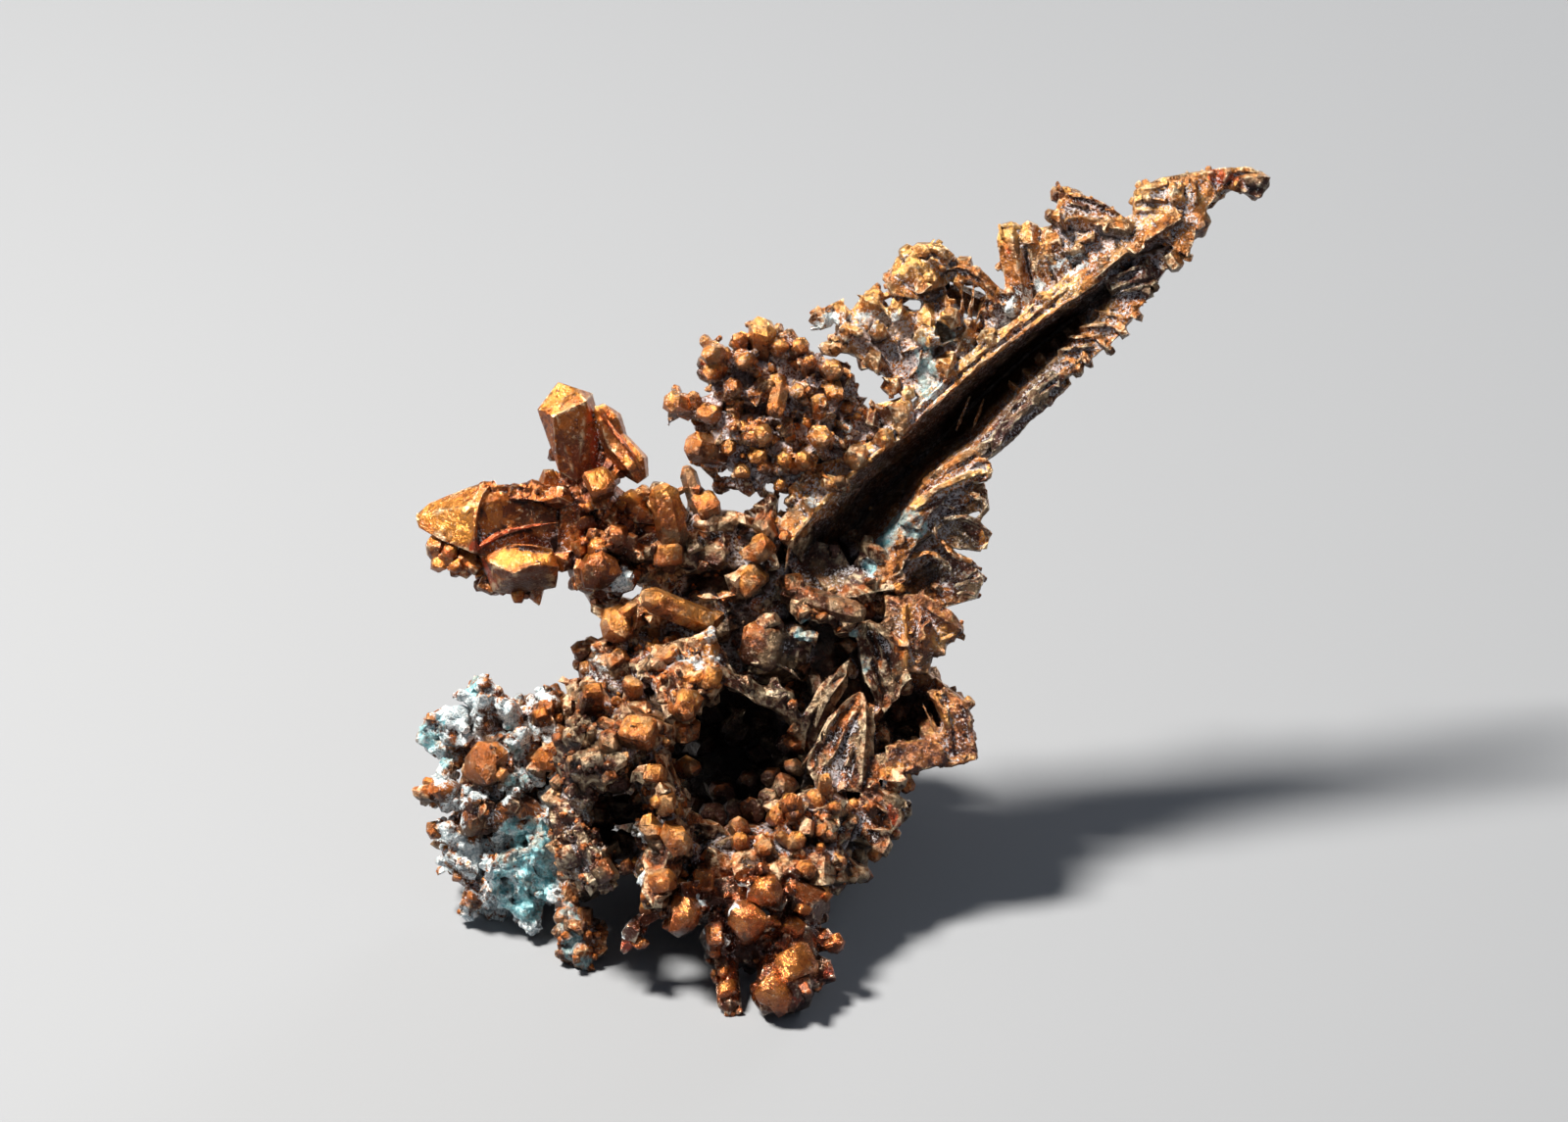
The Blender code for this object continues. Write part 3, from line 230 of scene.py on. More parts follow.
def read(items, name, width, kind=np.float32):
    """One property of all the items, as an array with a row for each."""
    flat = np.empty(len(items) * width, kind)
    items.foreach_get(name, flat)
    return flat.reshape(-1, width)


def points_of(mesh):
    return read(mesh.vertices, "co", 3).astype(np.float64)


def triangles_of(mesh):
    mesh.calc_loop_triangles()
    return read(mesh.loop_triangles, "vertices", 3, np.int32)


def move_points(mesh, points):
    mesh.vertices.foreach_set("co", points.astype(np.float32).ravel())


def as_stamp():
    """The shape of the active object as points and triangles, and the object removed."""
    bpy.ops.object.mode_set(mode="OBJECT")
    piece = bpy.context.object
    stamp = (points_of(piece.data), triangles_of(piece.data))
    bpy.data.objects.remove(piece)
    return stamp


STAMPS = {}

# %% A blunt prism: a six-sided column whose top is drawn in twice
bpy.ops.mesh.primitive_cylinder_add(vertices=6, radius=1.0, depth=2.4, location=(0, 0, 0.6))
edit_top()
bpy.ops.mesh.extrude_region_move(TRANSFORM_OT_translate={"value": (0.1, 0.0, 0.4)})
bpy.ops.transform.resize(value=(0.62, 0.5, 1.0))
STAMPS["prism"] = as_stamp()

# %% A bevelled cube: the commonest form of a copper crystal
bpy.ops.mesh.primitive_cube_add(size=1.8, location=(0, 0, 0.5))
edit_all()
bpy.ops.transform.vertex_random(offset=0.3, seed=3)
bpy.ops.mesh.bevel(offset=0.26, segments=1)
STAMPS["cube"] = as_stamp()

# %% A nub: a low ball pulled out of round
bpy.ops.mesh.primitive_uv_sphere_add(segments=7, ring_count=4, radius=1.0, location=(0, 0, 0.45))
edit_all()
bpy.ops.transform.vertex_random(offset=0.14, seed=4)
STAMPS["nub"] = as_stamp()

# %% A crumb: twenty faces, each corner pushed about
bpy.ops.mesh.primitive_ico_sphere_add(subdivisions=1, radius=1.0, location=(0, 0, 0.2))
edit_all()
bpy.ops.transform.vertex_random(offset=0.38, seed=9)
STAMPS["crumb"] = as_stamp()

# %% A pebble: a ball pushed far out of round and wrapped in flat faces
bpy.ops.mesh.primitive_ico_sphere_add(subdivisions=2, radius=1.0, location=(0, 0, 0.35))
edit_all()
bpy.ops.transform.vertex_random(offset=0.45, seed=6)
bpy.ops.mesh.convex_hull()
STAMPS["pebble"] = as_stamp()

# %% A blade: a cube drawn out into a thin leaning slab
bpy.ops.mesh.primitive_cube_add(size=2.0, location=(0, 0, 0.6))
edit_all()
bpy.ops.transform.resize(value=(1.0, 0.34, 1.1))
edit_top()
bpy.ops.transform.resize(value=(0.55, 0.6, 1.0))
bpy.ops.transform.translate(value=(0.35, 0.0, 0.0))
STAMPS["blade"] = as_stamp()
print({name: len(faces) for name, (_, faces) in STAMPS.items()}, "triangles each")

# %% [markdown]
# ## Sowing the small shapes over a branch
#
# Crystals start anywhere on the metal, so places are drawn at random over the triangles, with a
# large triangle drawn more often than a small one. Copper grows in clumps: a slow noise decides
# where it is thick, and crumbs gather where the skin is sunk. A region is made of soft strokes, and
# a place is kept as often as its region is strong there. The copies are joined into one mesh by
# arrays. Everything that is placed one by one is kept in plain tables, which one function reads.

# %% Tables, regions and clumps
FADE = 2.5  # how steeply a stroke loses its strength towards its edge
CONTRAST = 2.2  # how sharply clumps are parted from bare ground


def table(text):
    """A row for each line of text. Commas part its fields, which are words or tuples of numbers."""
    rows = []
    for line in text.splitlines():
        if line and not line.startswith("#"):
            fields = [field.split() for field in line.split(",")]
            rows.append([f[0] if f[0].isalpha() else tuple(map(float, f)) for f in fields])
    return rows


def strength(places, region):
    """From 0 to 1, how far each place is inside a region of rows: radius and strength, u v w, u v w."""
    best = np.zeros(len(places))
    low, high = places.min(axis=0), places.max(axis=0)
    for (radius, amount), *path in region:
        path = np.array(path)
        if np.any(path.max(axis=0) + radius < low) or np.any(path.min(axis=0) - radius > high):
            continue
        for start, end in zip(path, np.vstack([path[1:], path[-1:]])):
            span = end - start
            share = np.clip((places - start) @ span / max(span @ span, 1e-9), 0, 1)[:, None]
            away = np.linalg.norm(places - start - share * span, axis=1) / radius
            best = np.maximum(best, np.clip((1.0 - away) * FADE, 0, 1) * amount)
    return best


def clumps(points, size):
    """From 0 to 1, a slow noise with that size in millimetres."""
    values = np.array([noise.noise(Vector(p) / size) for p in points])
    return np.clip(values * CONTRAST + 0.5, 0, 1)


# %% Sowing
WIDTHS = (0.75, 1.3)  # how far the two ways of a copy may differ from its radius
HEIGHTS = (0.8, 1.3)


def linked(name, data):
    """A new object in the scene."""
    piece = bpy.data.objects.new(name, data)
    bpy.context.scene.collection.objects.link(piece)
    return piece


def joined(name, parts):
    """One object from a list of (points, triangles, tone of each point)."""
    starts = np.cumsum([0] + [len(part[0]) for part in parts[:-1]])
    points = np.concatenate([part[0] for part in parts])
    faces = np.concatenate([part[1] + start for part, start in zip(parts, starts)])
    mesh = bpy.data.meshes.new(name)
    mesh.from_pydata(points, [], faces)
    tones = mesh.attributes.new("tone", "FLOAT", "POINT")
    tones.data.foreach_set("value", np.concatenate([part[2] for part in parts]).astype(np.float32))
    return linked(name, mesh)


def turned(rng, normals, lean):
    """One turning matrix for each normal, with a random spin and lean."""
    z = normals + rng.normal(0, lean, normals.shape)
    z /= np.linalg.norm(z, axis=1, keepdims=True)
    x = np.cross(z, rng.normal(0, 1, z.shape))
    x /= np.linalg.norm(x, axis=1, keepdims=True)
    return np.stack([x, np.cross(z, x), z], axis=2)


def stamped(kinds, kind_of, places, turns, scales, tones):
    """One object from stamps of several kinds, each at its place, turned and scaled."""
    parts = []
    for number, kind in enumerate(kinds):
        mine = np.flatnonzero(kind_of == number)
        shape, triangles = STAMPS[kind]
        stretched = shape[None] * scales[mine][:, None]
        moved = np.einsum("nij,nkj->nki", turns[mine], stretched) + places[mine][:, None]
        offsets = (np.arange(len(mine)) * len(shape))[:, None, None]
        faces = (triangles[None] + offsets).reshape(-1, 3)
        parts.append((moved.reshape(-1, 3), faces, np.repeat(tones[mine], len(shape))))
    return joined("sown", parts)


def sow(
    base, kinds, per_mm2, sizes, seed, region=None, avoid=None, lean=0.45, long=1.0, clump=None, liking=None
):
    """Copies of the small shapes all over a branch, as one object. liking is a chance for each corner."""
    rng = np.random.default_rng(seed)
    points, faces = points_of(base.data), triangles_of(base.data)
    a, b, c = (points[faces[:, i]] for i in range(3))
    across = np.cross(b - a, c - a)
    area = np.linalg.norm(across, axis=1) / 2
    count = int(area.sum() * per_mm2)
    chosen = rng.choice(len(faces), count, p=area / area.sum())
    s, t = np.sqrt(rng.random(count))[:, None], rng.random(count)[:, None]
    places = a[chosen] * (1 - s) + b[chosen] * s * (1 - t) + c[chosen] * s * t
    normals = across[chosen] / (2 * area[chosen][:, None])
    chance = np.ones(count)
    if region is not None:
        chance *= strength(on_face(places), region)
    if avoid is not None:
        chance *= 1 - strength(on_face(places), avoid)
    if clump is not None:
        chance *= clumps(places, clump)
    if liking is not None:
        chance *= liking[faces[chosen]].mean(axis=1)
    keep = rng.random(count) < chance
    places, turns = places[keep], turned(rng, normals[keep], lean)
    low, high = sizes
    many = len(places)
    radii = low + (high - low) * rng.random(many) ** 2
    widths = rng.uniform(*WIDTHS, many)
    squash = np.stack([widths, np.ones(many), long * rng.uniform(*HEIGHTS, many)], axis=1)
    kind_of = rng.integers(0, len(kinds), many)
    print(f"  {many} of {', '.join(kinds)}")
    return stamped(kinds, kind_of, places, turns, radii[:, None] * squash, rng.random(many))


# %% Planting
ABOVE_ALL = 30.0  # mm out of the face, clear of everything
SUNK = 0.25  # the share of its radius by which a planted crystal starts inside the skin
WOBBLE = 0.1  # how far it may lean from the direction it is given
FLATNESS = (0.8, 1.0)  # its second width to its first


def plant(base, rows, seed):
    """Crystals from rows of kind, u v on the skin or u v w, direction, and radius, length and tone."""
    rng = np.random.default_rng(seed)
    skin = BVHTree.FromPolygons(points_of(base.data).tolist(), triangles_of(base.data).tolist())
    kinds = sorted({row[0] for row in rows})
    kept = []
    for kind, spot, direction, (radius, length, tone) in rows:
        found = at(*spot) if len(spot) == 3 else skin.ray_cast(at(*spot, ABOVE_ALL), -OUT)[0]
        if found is not None:
            start = found - SUNK * radius * OUT
            kept.append((kinds.index(kind), start, direction, radius, length, tone))
    kind_of, places, directions, radii, lengths, tones = (np.array(column) for column in zip(*kept))
    outward = directions @ FACE_AXES
    turns = turned(rng, outward / np.linalg.norm(outward, axis=1, keepdims=True), WOBBLE)
    flatness = np.array([rng.uniform(*FLATNESS) for _ in kept])
    print(f"  {len(kept)} planted")
    scales = np.stack([radii, radii * flatness, lengths / 2], axis=1)
    return stamped(kinds, kind_of, places, turns, scales, tones)


# %% [markdown]
# ## Strands
#
# Some of the metal is drawn out into wires, ribs and arches. A curve with a round bevel makes one
# quickly: its points are given on the face, and it is turned into a mesh.

# %% Strands from a few points
TAPER = 0.6  # thickness of an end to that of the middle


def strands(rows):
    """Tapering rods, as one object, from rows of thickness and the u v w places each runs through."""
    curve = bpy.data.curves.new("strands", "CURVE")
    curve.dimensions = "3D"
    curve.bevel_depth = 0.5
    curve.bevel_resolution = 1
    curve.use_fill_caps = True
    curve.resolution_u = 4
    for (thickness,), *path in rows:
        line = curve.splines.new("NURBS")
        line.points.add(len(path) - 1)
        line.use_endpoint_u = True
        line.order_u = 3
        for number, (point, place) in enumerate(zip(line.points, path)):
            point.co = (*at(*place), 1.0)
            point.radius = thickness * (TAPER if number in (0, len(path) - 1) else 1.0)
    only(linked("strands", curve))
    bpy.ops.object.convert(target="MESH")
    return bpy.context.object


# %% [markdown]
# ## From a faceted branch to a grown one
#
# Each branch goes through the same steps. A copy of its solid is merged, and where it was parted
# from its neighbour the flat cut is pushed on by half a millimetre, so that the two grow into each
# other. The small shapes are added, and a voxel remesh melts everything into one skin, which rounds
# the edges as real copper has them. Displace modifiers then pit and roughen that skin, with a
# vertex group where only a part of it is rough, and Decimate brings it to its triangle budget.

# %% The forks, where branches were parted
# A place on each flat cut, and the direction across it, as u, v, w.
FORKS = [
    ((3.0, 29.9, -2.0), (0.46, 0.89, 0.0)),  # body and spire
    ((1.9, 33.8, 0.0), (-0.71, 0.71, 0.0)),  # spire and knob fan
    ((-9.6, 29.6, 0.0), (-0.9, 0.44, 0.0)),  # body and crystal arm
    ((-14.0, 14.0, 0.0), (-0.97, -0.25, -0.12)),  # body and crusted lobe
    ((7.2, 20.4, -1.6), (1.0, 0.0, 0.0)),  # body and side wing
    ((8.6, 26.9, 0.0), (0.2, 1.0, 0.0)),  # side wing and spire
    ((-2.6, 8.0, 6.0), (0.17, -0.98, 0.1)),  # body and front foot
]
WELD = 0.9  # mm that each side of a fork is pushed into the other
CUT_HALF_GAP = 0.15
CUT_TOLERANCE = 0.004


def push_cuts(points, forks):
    """Moves the corners that lie on a flat cut outwards across it."""
    places = on_face(points)
    for place, direction in forks:
        across = np.array(direction) / np.linalg.norm(direction)
        away = (places - np.array(place)) @ across
        on_cut = np.abs(np.abs(away) - CUT_HALF_GAP) < CUT_TOLERANCE
        shift = -np.sign(away)[:, None] * across * WELD
        places = np.where(on_cut[:, None], places + shift, places)
    return places @ FACE_AXES - np.array(ORIGIN)


# %% Copying and melting


def bare_branch(name):
    """A merged copy of a node, at one unit to the millimetre."""
    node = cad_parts[name]
    branch = node.copy()
    branch.data = node.data.copy()
    branch.parent = None
    for key in list(branch.keys()):
        del branch[key]
    bpy.context.scene.collection.objects.link(branch)
    branch.data.transform(Matrix.Scale(1 / MM, 4))
    only(branch)
    edit_all()
    bpy.ops.mesh.remove_doubles(threshold=0.0005)
    bpy.ops.object.mode_set(mode="OBJECT")
    move_points(branch.data, push_cuts(points_of(branch.data), FORKS))
    branch.data.update()
    return branch


def applied(piece, kind, **settings):
    """Adds a modifier with its settings and applies it."""
    modifier = piece.modifiers.new(kind.lower(), kind)
    for setting, value in settings.items():
        setattr(modifier, setting, value)
    only(piece)
    bpy.ops.object.modifier_apply(modifier=modifier.name)


def join_to(branch, parts):
    """Joins the parts to the branch, which stays the object."""
    only(branch)
    for part in parts:
        part.select_set(True)
    bpy.ops.object.join()


def melt(branch, grown, voxel):
    """Joins the small shapes to the branch and melts them into one skin."""
    join_to(branch, grown)
    size = voxel * 1.0
    applied(branch, "REMESH", mode="VOXEL", voxel_size=size)
    applied(branch, "SMOOTH", factor=0.5, iterations=1)
    print("  skin of", len(branch.data.polygons), "faces")


def facet(piece, faces):
    """Leaves about that many flat faces of a skin, then divides each for the finest grain."""
    to_budget(piece, faces)
    applied(piece, "SUBSURF", subdivision_type="SIMPLE", levels=2)


def weigh(piece, name, weights):
    """A vertex group with those weights, in sixteen steps."""
    group = piece.vertex_groups.new(name=name)
    steps = np.round(weights * 15).astype(int)
    for step in range(1, 16):
        group.add(np.flatnonzero(steps == step).tolist(), step / 15, "REPLACE")
    return group.name


def roughen(piece, basis, grain, height, group="", middle=0.5, depth=2):
    """Displaces a skin by a noise of that grain and height in millimetres."""
    texture = bpy.data.textures.new("roughness", "CLOUDS")
    texture.noise_basis = basis
    texture.noise_scale = grain
    texture.noise_depth = depth
    applied(piece, "DISPLACE", texture=texture, strength=height, mid_level=middle, vertex_group=group)


DRAWN_OUT = 9  # how much longer than wide the grain of drawn metal is


def striate(piece, along, spacing, height, group):
    """Displaces a skin by a noise that is drawn out along a direction, for drawn or bladed metal."""
    guide = linked("grain_guide", None)
    u, v, w = along
    direction = (RIGHT * u + UP * v + OUT * w).normalized()
    guide.rotation_euler = direction.to_track_quat("Z", "Y").to_euler()
    guide.scale = (spacing, spacing, spacing * DRAWN_OUT)
    bpy.context.view_layer.update()
    texture = bpy.data.textures.new("striations", "CLOUDS")
    texture.noise_scale = 1.0
    texture.noise_depth = 2
    applied(
        piece, "DISPLACE", texture=texture, strength=height, mid_level=0.5, vertex_group=group,
        texture_coords="OBJECT", texture_coords_object=guide,
    )
    bpy.data.objects.remove(guide)


def triangle_count(mesh):
    return sum(len(face.vertices) - 2 for face in mesh.polygons)


def to_budget(piece, triangles):
    """Decimates a skin to that many triangles."""
    now = triangle_count(piece.data)
    if now > triangles:
        applied(piece, "DECIMATE", ratio=triangles / now)


# %% [markdown]
# ## What the finish needs to know about the shape
#
# Handled metal is bright where it stands up and dark or dusty where it is sunk; here the brightness
# is partly a painted highlight and the darkness partly painted shade. A smoothed copy of the skin
# tells which is which: a corner that lies outside its smoothed place is raised, and one that lies
# inside it is sunk. Two amounts of smoothing give fine edges and broad hollows. They are kept as
# colour attributes, with the regions of crust, blue-green, red and dark oxide with painted shade beside
# them.

# %% Raised and sunk places


def smoothed(points, ends, times):
    """The points after being drawn towards their neighbours that many times."""
    count = len(points)
    share = np.bincount(ends.ravel(), minlength=count)[:, None]
    for _ in range(times):
        total = np.empty_like(points)
        for axis in range(3):
            total[:, axis] = np.bincount(ends[:, 0], points[ends[:, 1], axis], count)
            total[:, axis] += np.bincount(ends[:, 1], points[ends[:, 0], axis], count)
        points = 0.5 * points + 0.5 * total / np.maximum(share, 1)
    return points


def relief(mesh, times, reach):
    """From 0, sunk, to 1, raised, with reach in millimetres."""
    points = points_of(mesh)
    out = points - smoothed(points, read(mesh.edges, "vertices", 2, np.int32), times)
    height = np.einsum("ij,ij->i", out, read(mesh.vertices, "normal", 3))
    return np.clip(0.5 + height / (2 * reach), 0, 1)


def hollow(mesh, times=40, reach=0.25):
    """From 0, level or raised, to 1, sunk, for each corner of a mesh."""
    return np.clip(1.3 - 2.6 * relief(mesh, times, reach), 0, 1)


def keep_layer(mesh, name, channels):
    """Stores four values for each corner of the skin as one colour attribute."""
    layer = mesh.color_attributes.new(name, "FLOAT_COLOR", "POINT")
    layer.data.foreach_set("color", np.stack(channels, axis=1).astype(np.float32).ravel())


# %% Regions of colour on the whole nugget
# Each row is a stroke: its radius and strength, then each place it runs through.
# Rubbed are the faces and knobs that stand out bare, with no crust or dirt on them.
RUBBED = table("""
1.9 1, -18.6 31.6 1.6, -15.4 31.4 1.2
1.9 1, -19 15.6 0.5, -19 15.6 4.5
1.4 0.6, -19.2 12.2 0.5, -19.2 12.2 3.5
1.2 1, -15.4 15.9 0.5, -15.4 15.9 4.5
1 1, -15.5 18.9 0.5, -15.5 18.9 3.5
1.2 1, -13.6 20.7 0.5, -13.6 20.7 3.5
0.8 0.9, -19.1 22 0, -19.1 22.4 2
0.9 0.8, -22.6 14 -0.5, -22.4 13.6 1.5
1.2 0.4, -16.6 12.8 0.5, -16.6 12.8 4
1 0.8, -12.4 2.8 2, -12.4 2.8 5
""")
BLUE_GREEN = table("""
1.2 1, 1.3 24.2 1.2
1.5 1, 6 28.2 -0.8, 7.4 30.8 -0.8, 8.2 31 0
1.1 0.9, 9.2 39.6 0.8, 9 42.9 1, 10.2 43 1
3 1, -16.4 10.4 2.4, -16.6 7.6 1.6
1.6 0.7, -15 12 2.4
1.6 0.9, -21.9 16.4 0.6, -22.4 18 0.4
1.4 1, -19.6 20.6 0.6
1.8 0.8, -17.8 17 1.6, -17 15 2
1.4 0.9, -13.8 6 3, -13 3.4 3.4
1.5 0.7, -9.8 11.6 7.4
1.8 0.6, -2.6 24.6 0
1 0.9, 5 22 0.6
0.9 0.9, 4.6 24.2 0.6
1.2 0.6, -10.4 27.4 1.8
""")
PALE_CRUST = table("""
7 1, -19 18 0, -18.4 13 0, -17.4 8 0
2.6 0.7, -13 21.6 1
2.4 0.6, -12.4 17.4 6, -12.6 13 6.4
2.6 0.6, -12.6 9.6 6.4
2 0.6, -8.2 17.6 7.6, -8 13.4 7.6
1.6 0.8, -9.6 11 7.4
1.4 0.9, -9.4 8.4 7.6
1.5 1, -10.4 27.4 1.8
0.5 1, -18.9 28.9 2.4
0.5 1, -13 37.9 0.9
1 0.9, -9.7 5.2 7.2
1.7 0.74, -4.3 5 7.6
1.2 0.9, -2.6 8 7.6, -3.4 7 8.4
0.9 0.9, -5 7.2 7.8
0.7 0.9, 3.3 4.6 7.2
0.7 0.9, 3.4 2.2 7.8
0.7 1, -0.4 3.4 8.8
1.6 0.9, 5.6 28 -0.8, 6.6 29.4 -0.8, 8 30.8 -0.2
1.4 0.9, 8.2 37.6 1, 9.4 40 0.8
1.2 0.6, -11.6 24.4 1.6
2.8 0.5, -4 27.4 1.2
2.4 0.6, -6.2 22.6 2.2
1.9 0.68, -10.2 32 0.8
1 0.7, -12.4 29 1.4
1.7 0.7, -4.8 24.6 2, -4.8 21.6 3.4
1.8 0.7, -1.2 29 1.2
1.6 0.5, 0.6 10.8 4.8
2.2 0.8, 3 43 0.8, 8.4 43.4 1.4, 10.8 42 1
1.8 0.75, 8.2 48 1, 9.8 47.6 1
1 0.9, 13.9 43.8 0.6, 15.8 46 0.6, 19.6 48.2 0.6
0.6 1, -6.2 38.4 0.6
1 0.8, 3.6 37.8 0.8, 4.4 36.2 0.8, 0.8 34 0.8
0.7 1, 1.8 32.4 1.4
0.9 0.8, 6.8 36.6 1.2
0.7 0.7, 18.6 49.2 0.4, 21 49.2 0.4
""")
RED_STREAK = table("""
0.55 1, -19.8 29.4 2.6, -18.4 30.2 2.2, -16.6 31 1.8, -14.3 31.4 1.2
0.7 0.9, -23.2 31 0.8, -22 29.8 1.4, -20.8 28.9 1.8
0.6 1, -19.3 28.4 2, -18.4 26.8 1.8
0.7 0.9, -12.8 38.6 0.8, -12 36 1, -11.9 34.6 0.8
0.6 0.9, -11.4 37.8 1.2, -9.6 35.4 1.8
0.9 0.9, -5 40.8 1
0.8 0.9, -7 38.5 0.8
0.6 0.9, -5.6 39 0.6
1 0.9, -6.8 31 1.2
0.8 1, 27.4 53.1 0.4, 28.6 53 0.4
0.7 0.8, 5.6 36 1.4, 7 35.8 1.4
0.6 0.7, 2.2 32.8 1.2, 3.6 33.4 1.2
0.5 0.8, 7.8 36.8 1.2, 10.4 39.2 1.3, 14 42.1 1.3, 18 45 1.2
0.9 0.8, -1 1.4 9.8, 0.8 0.6 9.4
1.1 0.8, -3.6 2.4 7.4
0.9 1, 3.2 4.6 7
0.9 0.9, 3 2.4 8
1.2 0.7, -1.2 7.8 8
1.2 0.8, -7.6 7.6 9
0.8 1, -9.8 4.2 7.2
0.6 1, 6.9 12.8 1.6, 7.2 11.6 1.2
1.2 0.6, 12.4 28 -0.6
1.2 0.7, -9.6 17.8 8
1.2 0.8, -5.6 20 4.4
0.5 0.9, 14.4 48.4 0.6
1 0.7, -19.6 15.8 2
0.9 0.8, -11.2 25 1.6
0.5 0.8, 1.4 13.6 4.2
""")
# Dark oxide and painted shade: the cave, the trough and the gaps between the foot's crystals are darkened
# where shade falls.
DARK_OXIDE_AND_SHADE = table("""
5.6 1, -3.8 17.4 -4, -2 13.6 -4
2.2 1, -11.2 13 3.6, -11.6 7 3
3.2 0.74, 2.2 29.8 -2.2, 5.4 33 -3.6, 8.4 35.4 -3.8, 11.4 37.8 -3.6
2.6 1, 11.4 37.8 -3.6, 14.6 40.6 -2.8, 17.8 43.4 -1.9
1.4 0.9, 20.6 45.4 -1, 21.6 45 -1
1.2 0.9, -18.6 11.2 0.8, -16.4 11.2 0.8
1.4 0.8, -15 14.6 0.2
1.9 1, 2.8 24 -0.8, 3 22 -1, 1.8 20.6 -1
1.6 0.9, -2.8 24.6 -0.4
2.2 1, 7 19.8 -2.4, 8.4 18.4 -2.4
1.2 0.7, -2.6 22.2 -0.6
1.5 0.9, 9 27.6 -1.6
1.3 0.8, -12.8 34.6 -0.4
1.3 0.6, -21 28.2 0.2
1.2 1, -8 4.9 3, -7.2 4.4 6.8
1.1 1, -5.6 4 3, -5.6 4 7
0.9 1, -2.6 3.9 4, -2.2 3.9 8
0.8 1, -2.2 2.2 4, -2.2 2.4 9
0.7 0.8, -0.2 6.6 6, 0 6.4 8.4
0.6 0.8, -3.8 6.4 6, -3.8 6.6 9
2 1, -10.4 13.2 3, -10.4 9.8 3
1.5 1, -10.4 13 6.5, -10.2 10 6.5
1.8 0.55, -5.2 12.8 2, -2.6 13.2 1, 0.2 15 0.6
1 0.8, -11.4 32.6 0
0.9 0.9, 22.4 48.2 -0.6
0.6 0.9, -1.9 40.3 0.4
0.5 0.9, -3 38.2 0.4, -1.9 38.3 0.4
0.5 0.9, 3.4 37.6 0.2
0.6 0.9, 2.6 35.2 0.2
0.6 0.8, 0.6 34.4 0.2
1.1 0.9, 10.8 45.7 -0.4, 13 44.9 -0.4
0.9 0.8, -4.6 31.4 -0.6, -3 30.6 -0.6
""")
# Gilt is worn paler and more golden than the rest, and is partly painted light on faces and edges that
# catch the key light, as the left end of the arm, the ridge's band and the rims of the fins and wing.
GILT_AND_LIT_FACES = table("""
1.9 0.5, -4.6 25.6 1.8, -4.6 22.6 2.8, -4.8 20.6 4
1.6 0.7, 9.6 43.4 1.2, 6.6 43.6 1.2
1.6 0.9, -22.8 31.4 0.6, -20.6 31 2
0.7 1, -18 28.9 2.8, -15 28.9 2.6
1.1 0.6, -15 38.8 1, -14.2 39.4 0.8
1.1 0.5, 0.4 30 1.2, 3 33.4 1.2, 7 36.6 1.2
1.2 0.4, 7.4 38 1.2, 10 40.2 1.2, 14 43.2 1.2, 18 46.2 1
0.9 0.15, 4.2 19.4 1.4, 2.6 16.4 1.4
2.8 0.6, 9 47.8 1
2.2 0.6, 5.6 44.8 0.8
1.4 0.7, 14.4 49.8 0.4
0.45 1, 8.4 32 0.6, 10.4 33.4 0.8, 12.8 34.4 0.8
0.5 0.9, 13 30.6 -0.4, 12.8 29.4 -0.4
0.45 1, 7.8 25.4 0.5, 7.8 22.2 0.5
0.7 0.8, 10.6 24.4 0.4, 9.4 23.4 0.4
0.5 0.9, 9.6 20 0.8, 10.4 18.4 1
0.5 0.8, 10 15.7 0.6, 12.2 16.2 0.6
0.7 0.5, 6.2 15.2 1.2, 8.8 16 1.2
1 0.8, -7.5 32.4 0.8, -8.4 32 0.6
1 0.5, -12.4 28.6 1.8
1.2 0.6, -11 24.9 1.6, -6 25.4 2
1.2 0.6, -0.2 2.4 9.8
1.6 0.5, 22.6 51 0.4, 26 52.6 0.6
""")
# Umber is deeper and more purple-brown than the rest, and is partly painted shade in the cave and on faces
# turned from the key light.
UMBER_AND_SHADED_FACES = table("""
2.8 0.4, -12.4 33 0.4, -10.6 30 0.6, -11.6 28 0.6
2.8 0.8, -12 17 6, -11.6 12 7, -11.6 7.6 7
1.9 0.7, -5.2 12.6 2.2, 0.6 14.2 1.6
4 0.8, -5 17 -4, -1 14 -3
1.9 0.25, -17.6 31.2 1, -15.2 30.6 0.6
0.9 0.5, -17 27.4 1.6, -15 27.2 1.6
1.1 0.4, -13.9 36.8 1.2, -13.4 34.6 1
0.7 0.6, -18.4 33.6 0.6, -15 33.6 0.6
1.8 0.2, 2 20.6 0.6, 1.4 17 0.8
1.2 0.8, -3.8 21.7 2.4, -1 20.6 2.2, 0.8 18.8 1.4
1.6 0.3, 5.8 23.6 0.4, 6.2 20.8 0.4
1.4 0.8, 9.8 32.4 0, 11.8 30.4 -0.4
1.4 0.8, 10.2 28.2 -1, 12 27.4 -0.8
1.1 0.9, 13.4 36 0.4, 15.6 38.6 0.4, 17 40 0.4
1.5 0.9, 21.4 46.4 0.2, 23.2 46.6 0.4
1 0.4, 18.8 51.2 0.6, 20.6 50.8 0.6
0.8 0.8, -1.7 39 0.8
1 0.6, -3 40.6 0.6
2.2 0.7, -0.6 22.8 0.8
1.8 0.7, -16.8 14.2 2
1.6 0.6, -19.6 13 1.6
1.6 0.5, -6 28.6 0.6
1.6 0.9, 3 30 0, 4.4 28 -0.6
0.9 0.8, 29.6 52.6 0.2, 30.8 52.4 0.2
1.8 0.5, -11.4 15 8.4, -13 12 6.8
""")
